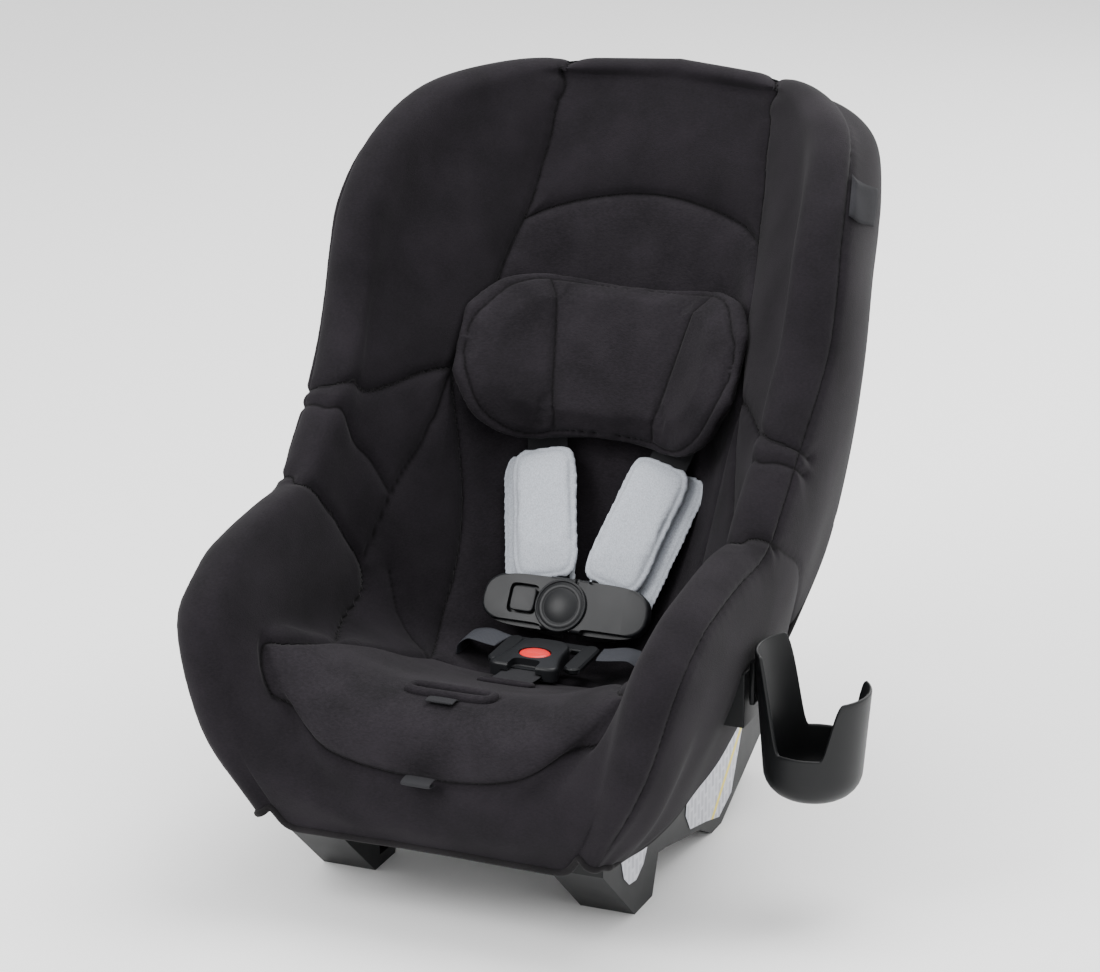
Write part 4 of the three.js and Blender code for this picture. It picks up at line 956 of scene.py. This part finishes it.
def softened(name, node, width, body, slot, material, segments=3):
    """A CAD node with its moulding radii: a merged copy whose sharp edges are rounded."""
    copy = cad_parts[node].data.copy()
    edit = bmesh.new()
    edit.from_mesh(copy)
    bmesh.ops.remove_doubles(edit, verts=edit.verts, dist=0.02 * MM)
    bmesh.ops.dissolve_limit(edit, angle_limit=math.radians(1), verts=edit.verts,
                             edges=edit.edges)
    edit.to_mesh(copy)
    edit.free()
    copy.materials.clear()
    copy.materials.append(material)
    obj = link(bpy.data.objects.new(name, copy))
    bevel = obj.modifiers.new("radii", "BEVEL")
    bevel.width = width * MM
    bevel.segments = segments
    bevel.limit_method = "ANGLE"
    bevel.angle_limit = math.radians(25)
    bevel.use_clamp_overlap = True
    copy.polygons.foreach_set("use_smooth", [True] * len(copy.polygons))
    weighted = obj.modifiers.new("shading", "WEIGHTED_NORMAL")
    weighted.keep_sharp = True
    return finish_piece(obj, body, slot, node)


# ---- Base, hardware and screws ------------------------------------------------------------------
# The base is one moulding with open runners; the hardware is stamped steel with rolled edges.
softened("base_moulding", "base_frame", 2.6, "root", "black_plastic", black_plastic)
softened("cup_bracket", "cup_holder_bracket", 2.0, "root", "black_plastic", black_plastic)
for node, name in (("crotch_anchor_bar", "anchor_bar"), ("adjuster_frame", "adjuster_housing"),
                   ("splitter_plate", "splitter")):
    softened(name, node, 0.8, "root", "steel", steel)
softened("adjuster_plate", "adjuster_lever", 0.7, "adjuster_lever", "steel", steel)
for number in range(1, 5):
    softened(f"screw_{number}", f"base_screw_{number}", 0.4, "root", "steel", steel)


# ---- Chest clip ---------------------------------------------------------------------------------
# Two nylon halves under one rounded outline, stepped back along both long edges where the webbing
# runs. A round badge on the right half covers the joint, and a square button in a groove frees the
# left half. It is drawn in a frame of its own: x across, up along its face, and out of its face.
CLIP_FRAME = (CLIP, CLIP_UP, HARNESS_OUT)


def in_frame(axes, x, up, out):
    """Points from their places across, up and out of a frame."""
    origin, up_axis, out_axis = axes
    x, up, out = np.broadcast_arrays(x, up, out)
    return origin + x[..., None] * (1, 0, 0) + up[..., None] * up_axis + out[..., None] * out_axis


CHAMFER = 0.8  # on a moulding's back edge


def rounded(name, axes, outline, back, front, radius, material):
    """A plate with a closed outline of (x, up): rings step in round its front edge's radius."""
    outline = np.asarray(outline, float)
    along = unit(np.roll(outline, -1, 0) - np.roll(outline, 1, 0))
    outward = np.stack([along[:, 1], -along[:, 0]], 1)
    turn = np.linspace(0, np.pi / 2, 7)
    steps = [(CHAMFER, back), (0.0, back + CHAMFER)] + [
        (radius * (1 - np.cos(a)), front - radius * (1 - np.sin(a))) for a in turn]
    rings = np.stack([in_frame(axes, *(outline - inset * outward).T, out) for inset, out in steps])
    count, last = len(outline), (len(steps) - 1) * len(outline)
    faces = grid_faces(len(steps), count, wrap=True).tolist() + [
        list(range(count))[::-1], [last + k for k in range(count)]]
    return closed_piece(name, rings, faces, material)


def oblong(half_x, half_up, x=0.0, up=0.0, power=8, points=80):
    """A rounded rectangle's outline: a superellipse about a middle point."""
    turn = np.linspace(0, 2 * np.pi, points, endpoint=False)
    return np.stack([x + half_x * np.sign(np.cos(turn)) * np.abs(np.cos(turn)) ** (2 / power),
                     up + half_up * np.sign(np.sin(turn)) * np.abs(np.sin(turn)) ** (2 / power)], 1)


def lathe(name, axes, profile, x, up, material, squash=1.0, sides=64):
    """A turned piece about the frame's out axis, from a profile of (radius, out)."""
    turn = np.linspace(0, 2 * np.pi, sides, endpoint=False)
    radius, out = np.asarray(profile, float).T
    rings = in_frame(axes, x + radius[:, None] * np.cos(turn),
                     up + squash * radius[:, None] * np.sin(turn), out[:, None])
    return closed_piece(name, rings, grid_faces(len(profile), sides, wrap=True), material)


def cutter(axes, outline, back, front, material=satin_plastic):
    """A piece to cut out of another."""
    return rounded("cutter", axes, outline, back, front, 0.2, material)


def carve(obj, *cutters):
    """Cuts the pieces out of the object and removes them."""
    for tool in cutters:
        cut = obj.modifiers.new("carve", "BOOLEAN")
        cut.operation = "DIFFERENCE"
        cut.solver = "EXACT"
        cut.object = tool
    with_modifiers(obj)
    for tool in cutters:
        bpy.data.objects.remove(tool)
    obj.data.polygons.foreach_set("use_smooth", [True] * len(obj.data.polygons))
    obj.data.set_sharp_from_angle(angle=math.radians(35))
    return obj


SPLIT = 6.2  # the joint's place to the left of the middle
END, UPPER, LOWER, CLIP_BACK = 75.0, 25.0, 21.0, -10.0


def clip_half(name, start, stop, side):
    """The clip's band from start to stop across, with its ledges stepped back and its round end."""
    across = np.linspace(start, stop, 90)
    high = np.maximum(np.maximum(1 - np.abs(across / END) ** 6, 0.0) ** 0.42, 0.02)
    upper, lower = np.stack([across, UPPER * high], 1), np.stack([across, -LOWER * high], 1)
    plate = rounded(name, CLIP_FRAME, np.concatenate([lower, upper[::-1]]), CLIP_BACK, 0.6, 2.6,
                    satin_plastic)
    ledges = [cutter(CLIP_FRAME, oblong(half, 4.4, x, up, 6), -5.6, 5)
              for x, up, half in ((side * 39, UPPER + 0.6, 22), (side * 43, -LOWER - 0.4, 25))]
    return carve(plate, *ledges)


right_clip = clip_half("clip_half_right", -END, SPLIT - 0.4, -1)
carve(right_clip,
      cutter(CLIP_FRAME, oblong(13.2, 13.2, -38, 2, 6), -6, 4),
      cutter(CLIP_FRAME, oblong(16, 10.4, -8, 0, 12), -7.8, -2.2))
finish_piece(right_clip, "root", "black_plastic", "chest_clip_right")
left_clip = clip_half("clip_half_left", SPLIT, END, 1)
finish_piece(left_clip, "clip_left", "black_plastic", "chest_clip_left")
finish_piece(rounded("clip_latch", CLIP_FRAME, oblong(15, 9.2, -6, 0, 12), -7, -3, 0.5,
                     satin_plastic), "clip_left", "black_plastic")
button = rounded("clip_push_button", CLIP_FRAME, oblong(10.8, 10.8, -38, 2, 6), -2.9, 1.0, 1.0,
                 satin_plastic)
finish_piece(button, "clip_button", "black_plastic", "chest_clip_button")
BADGE = [(0, 2.2), (14.4, 2.2), (14.8, 1.9), (15.2, 1.9), (15.6, 2.2), (19.8, 2.2), (20.2, 1.6),
         (20.6, 2.4), (21.2, 3.0), (22.2, 2.9), (22.9, 2.1), (22.9, 0.8), (0, 0.8)]
finish_piece(lathe("clip_badge", CLIP_FRAME, BADGE, -3, 0, satin_plastic), "root",
             "black_plastic")

# ---- Crotch buckle and tongues ------------------------------------------------------------------
# The nylon housing has round edges, and a flared front that straddles the crotch webbing under an
# arch. Its release button is a red oval dome; both tongues enter its rear mouth side by side.
BUCKLE_FRAME = (BUCKLE, BUCKLE_UP, BUCKLE_OUT)
half_outline = catmull([(0, -34), (13, -34), (25, -33.2), (30, -29), (28.6, -22), (25.5, -12),
                        (23.2, 0), (22.4, 12), (20, 22), (12.5, 27.6), (0, 28.6)],
                       np.linspace(0, 10, 71))
housing_outline = np.concatenate([half_outline, (half_outline * (-1, 1))[::-1][1:-1]])
housing = rounded("buckle_case", BUCKLE_FRAME, housing_outline, -11, 1.6, 3.0, satin_plastic)
carve(housing,
      cutter(BUCKLE_FRAME, oblong(12.6, 13, 0, -32, 5), -5.2, 5),
      cutter(BUCKLE_FRAME, oblong(18.4, 9, 0, -34, 14), -9.2, -4.6),
      cutter(BUCKLE_FRAME, oblong(14.2, 11.4, 0, -4, 2), -8.8, 5),
      cutter(BUCKLE_FRAME, oblong(20, 12, 0, 22, 14), -11.4, -5.5))
finish_piece(housing, "root", "black_plastic", "buckle_housing")
DOME = [(0, 2.6), (6, 2.45), (10, 2.0), (12.4, 1.3), (13.3, 0.5), (13.5, -0.6), (13.5, -3.9),
        (0, -3.9)]
finish_piece(lathe("release_button", BUCKLE_FRAME, DOME, 0, -4, red_plastic, squash=0.8),
             "buckle_button", "red_plastic", "buckle_button")
for word in ("left", "right"):
    softened(f"tongue_plate_{word}", f"buckle_tongue_{word}", 1.1, f"tongue_{word}",
             "black_plastic", satin_plastic)

# ---- Cup holder ---------------------------------------------------------------------------------
# An open cup, wider at the top, cut down to a deep saddle front and rear; its inner lobe hangs on
# the bracket and stands higher than its outer lobe.
CUP_X, CUP_Y, CUP_FLOOR, CUP_ROUND, CUP_WALL = 268.0, -136.0, 105.0, 24.0, 3.0
CUP_FOOT, CUP_TAPER = 40.0, 8 / 98  # its radius where the wall starts, and growth per mm up
SADDLE, OUTER_LOBE, INNER_LOBE = 149.0, 196.0, 227.0
INNER_RISE, OUTER_RISE = (19, 17), (20, 15)  # how far out each lobe starts, and its slope's width
turn = np.linspace(0, 2 * np.pi, 160, endpoint=False)
reach = 46 * np.cos(turn)
rim = SADDLE + (INNER_LOBE - SADDLE) * step((-reach - INNER_RISE[0]) / INNER_RISE[1]) + (
    OUTER_LOBE - SADDLE) * step((reach - OUTER_RISE[0]) / OUTER_RISE[1])
arc = np.linspace(0, np.pi / 2, 8)
share = np.linspace(0, 1, 18)[1:, None]


def cup_skin(inset):
    """One skin of the cup from its floor's middle to the rim, as radius and height rows."""
    bend = CUP_ROUND - inset
    radius = [np.zeros_like(turn)] + [
        np.full_like(turn, CUP_FOOT - CUP_ROUND + bend * math.sin(a)) for a in arc]
    height = [np.full_like(turn, CUP_FLOOR + inset)] + [
        np.full_like(turn, CUP_FLOOR + inset + bend * (1 - math.cos(a))) for a in arc]
    low = CUP_FLOOR + CUP_ROUND
    wall = low + share * (rim - CUP_WALL / 2 - low)
    return (np.concatenate([radius, CUP_FOOT - inset + (wall - low) * CUP_TAPER]),
            np.concatenate([height, wall]))


outer, inner = cup_skin(0.0), cup_skin(CUP_WALL)
lip_turn = np.linspace(0, np.pi, 7)[1:-1, None]
lip_radius = outer[0][-1] - CUP_WALL / 2 + CUP_WALL / 2 * np.cos(lip_turn)
lip_height = rim - CUP_WALL / 2 + CUP_WALL / 2 * np.sin(lip_turn)
radius = np.concatenate([outer[0], lip_radius, inner[0][::-1]])
height = np.concatenate([outer[1], lip_height, inner[1][::-1]])
cup_points = np.stack([CUP_X + radius * np.cos(turn), CUP_Y + radius * np.sin(turn), height], -1)
cup = closed_piece("cup", cup_points, grid_faces(len(radius), len(turn), wrap=True), black_plastic)
finish_piece(cup, "cup_holder", "black_plastic", "cup_holder")
HANGER_IN, HANGER_Z = 47.8, 196.0  # how far it lies in from the cup's middle, and its height
HANGER_FRAME = (np.array([CUP_X - HANGER_IN, CUP_Y, HANGER_Z]), np.array([0, 0, 1.0]),
                np.array([0, 1.0, 0]))
hanger = rounded("cup_hanger", HANGER_FRAME, oblong(2.3, 18), -13.5, 13.5, 1.2,
                 black_plastic)
finish_piece(hanger, "cup_holder", "black_plastic")

# ---- Bucket -------------------------------------------------------------------------------------
# One moulded bucket under the cover, seen at the back and below: a smooth wall with slots for the
# webbing. DEEP is how far it lies under the cover's face at each station.
UNDER_SIDES, BUCKET_WALL = 4.5, 4.0  # how far it lies under the outside panels, and its wall
DEEP = [[d] for d in (6, 7, 8, 10.5, 13, 14, 14, 15, 16.5, 18, 18, 18, 18, 16, 12.5, 9, 7, 7)]
rows_u, rows_v = slice(0, None, 4), slice(0, np.searchsorted(V, 9.8) + 1, 3)
shell_u, shell_v = grid_u[rows_u, rows_v], grid_v[rows_u, rows_v]
deep = catmull(DEEP, shell_u)[..., 0]
outside_share = np.clip((shell_v - 7) / 2, 0, 1)
deep = deep + (UNDER_SIDES - deep) * outside_share
wall = BUCKET_WALL * np.minimum(1, deep / 6)
base_points, base_inward = face_points[rows_u, rows_v], inward[rows_u, rows_v]
front_skin = base_points + base_inward * deep[..., None]
back_skin = base_points + base_inward * (deep + wall)[..., None]
shape = front_skin.shape[:2]
count = shape[0] * shape[1]
number = np.arange(count).reshape(shape)
rim_run = np.concatenate([number[0, :-1], number[:-1, -1], number[-1, ::-1]])
quads = grid_faces(*shape)
edges = np.stack([rim_run[:-1], rim_run[1:], rim_run[1:] + count, rim_run[:-1] + count], 1)
half_faces = np.concatenate([quads, quads[:, ::-1] + count, edges])
half_points = np.concatenate([front_skin.reshape(-1, 3), back_skin.reshape(-1, 3)])
both_points = np.concatenate([half_points, half_points * (-1, 1, 1)])
both_faces = np.concatenate([half_faces, half_faces[:, ::-1] + len(half_points)])
bucket = closed_piece("bucket", both_points, both_faces, black_plastic)
UPRIGHT = (np.zeros(3), np.array([0, 1.0, 0]), np.array([0, 0, 1.0]))
cutters = [cutter(UPRIGHT, oblong(24, 8, *CROTCH), 90, 175, black_plastic),
           cutter(UPRIGHT, oblong(36, 14, *ADJUSTER), 120, 200, black_plastic)]
for side in BOTH:
    cutters.append(cutter(UPRIGHT, oblong(8, 17, side * HIP[0], HIP[1]), 100, 200, black_plastic))
    cutters.append(cutter(UPRIGHT, oblong(28, 75, side * 55, 165), 328, 358, black_plastic))
carve(bucket, *cutters)
finish_piece(bucket, "root", "black_plastic", "seat_shell")

# ---- Labels and tag -----------------------------------------------------------------------------
# Printed film on the base: grey, with a yellow stripe across it and plain blocks in place of any
# print. A woven tag is sewn into the piping beside the head.
STRIPE_SLOPE, STRIPE_PLACE, STRIPE_HALF = 0.84, 24.5, 3.2


def label_film():
    """Grey film with a diagonal stripe in the plane of the side, and rows of plain blocks."""
    material, tree, shader = new_material("printed_film")
    place = add(tree, "TexCoord").outputs["Object"]
    split = add(tree, "SeparateXYZ", {0: place})
    slope = add(tree, "Math", {0: split.outputs["Y"], 1: STRIPE_SLOPE},
                operation="MULTIPLY").outputs[0]
    gap = add(tree, "Math", {0: split.outputs["Z"], 1: slope}, operation="SUBTRACT").outputs[0]
    near = add(tree, "Math", {0: gap, 1: STRIPE_PLACE * MM, 2: STRIPE_HALF * MM},
               operation="COMPARE").outputs[0]
    turned = add(tree, "Mapping", {"Vector": place,
                                   "Rotation": (0, math.radians(90), 0)}).outputs[0]
    blocks = add(tree, "TexBrick", {"Vector": turned, "Scale": 30, "Color1": hex_linear("#9fa0a9"),
                                    "Color2": hex_linear("#b4b5bd"),
                                    "Mortar": hex_linear("#c3c4cb"), "Mortar Size": 0.05})
    tint = add(tree, "Mix", {0: near, 6: blocks.outputs["Color"], 7: hex_linear("#e3cf3a")},
               data_type="RGBA").outputs[2]
    tree.links.new(tint, shader.inputs["Base Color"])
    shader.inputs["Roughness"].default_value = 0.35
    return material


film = label_film()
for name, node in (("base_label", "side_label"), ("front_foot_label", "foot_label")):
    softened(name, node, 0.1, "root", "label_film", film, segments=1)
TAG_GRID = (12, 14)
tag_u, tag_v = np.meshgrid(np.linspace(12.5, 13.15, TAG_GRID[0]),
                           np.linspace(7.5, 8.8, TAG_GRID[1]), indexing="ij")
tag_points = on_cover(tag_u.ravel(), tag_v.ravel()).reshape(*TAG_GRID, 3)
tag_points -= 3.4 * inward_normals(tag_points)
tag_cloth = knit("woven_tag", "#1b1b1d", "#2a2a2d", 0.6, 0.0, 0.3)
tag = mesh_object("sewn_tag", tag_points, grid_faces(*TAG_GRID), tag_cloth)
tag.modifiers.new("cloth", "SOLIDIFY").thickness = 0.8 * MM
finish_piece(tag, "root", "label_film", "side_tag")
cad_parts["buckle_spring"].data.materials.clear()
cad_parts["buckle_spring"].data.materials.append(steel)
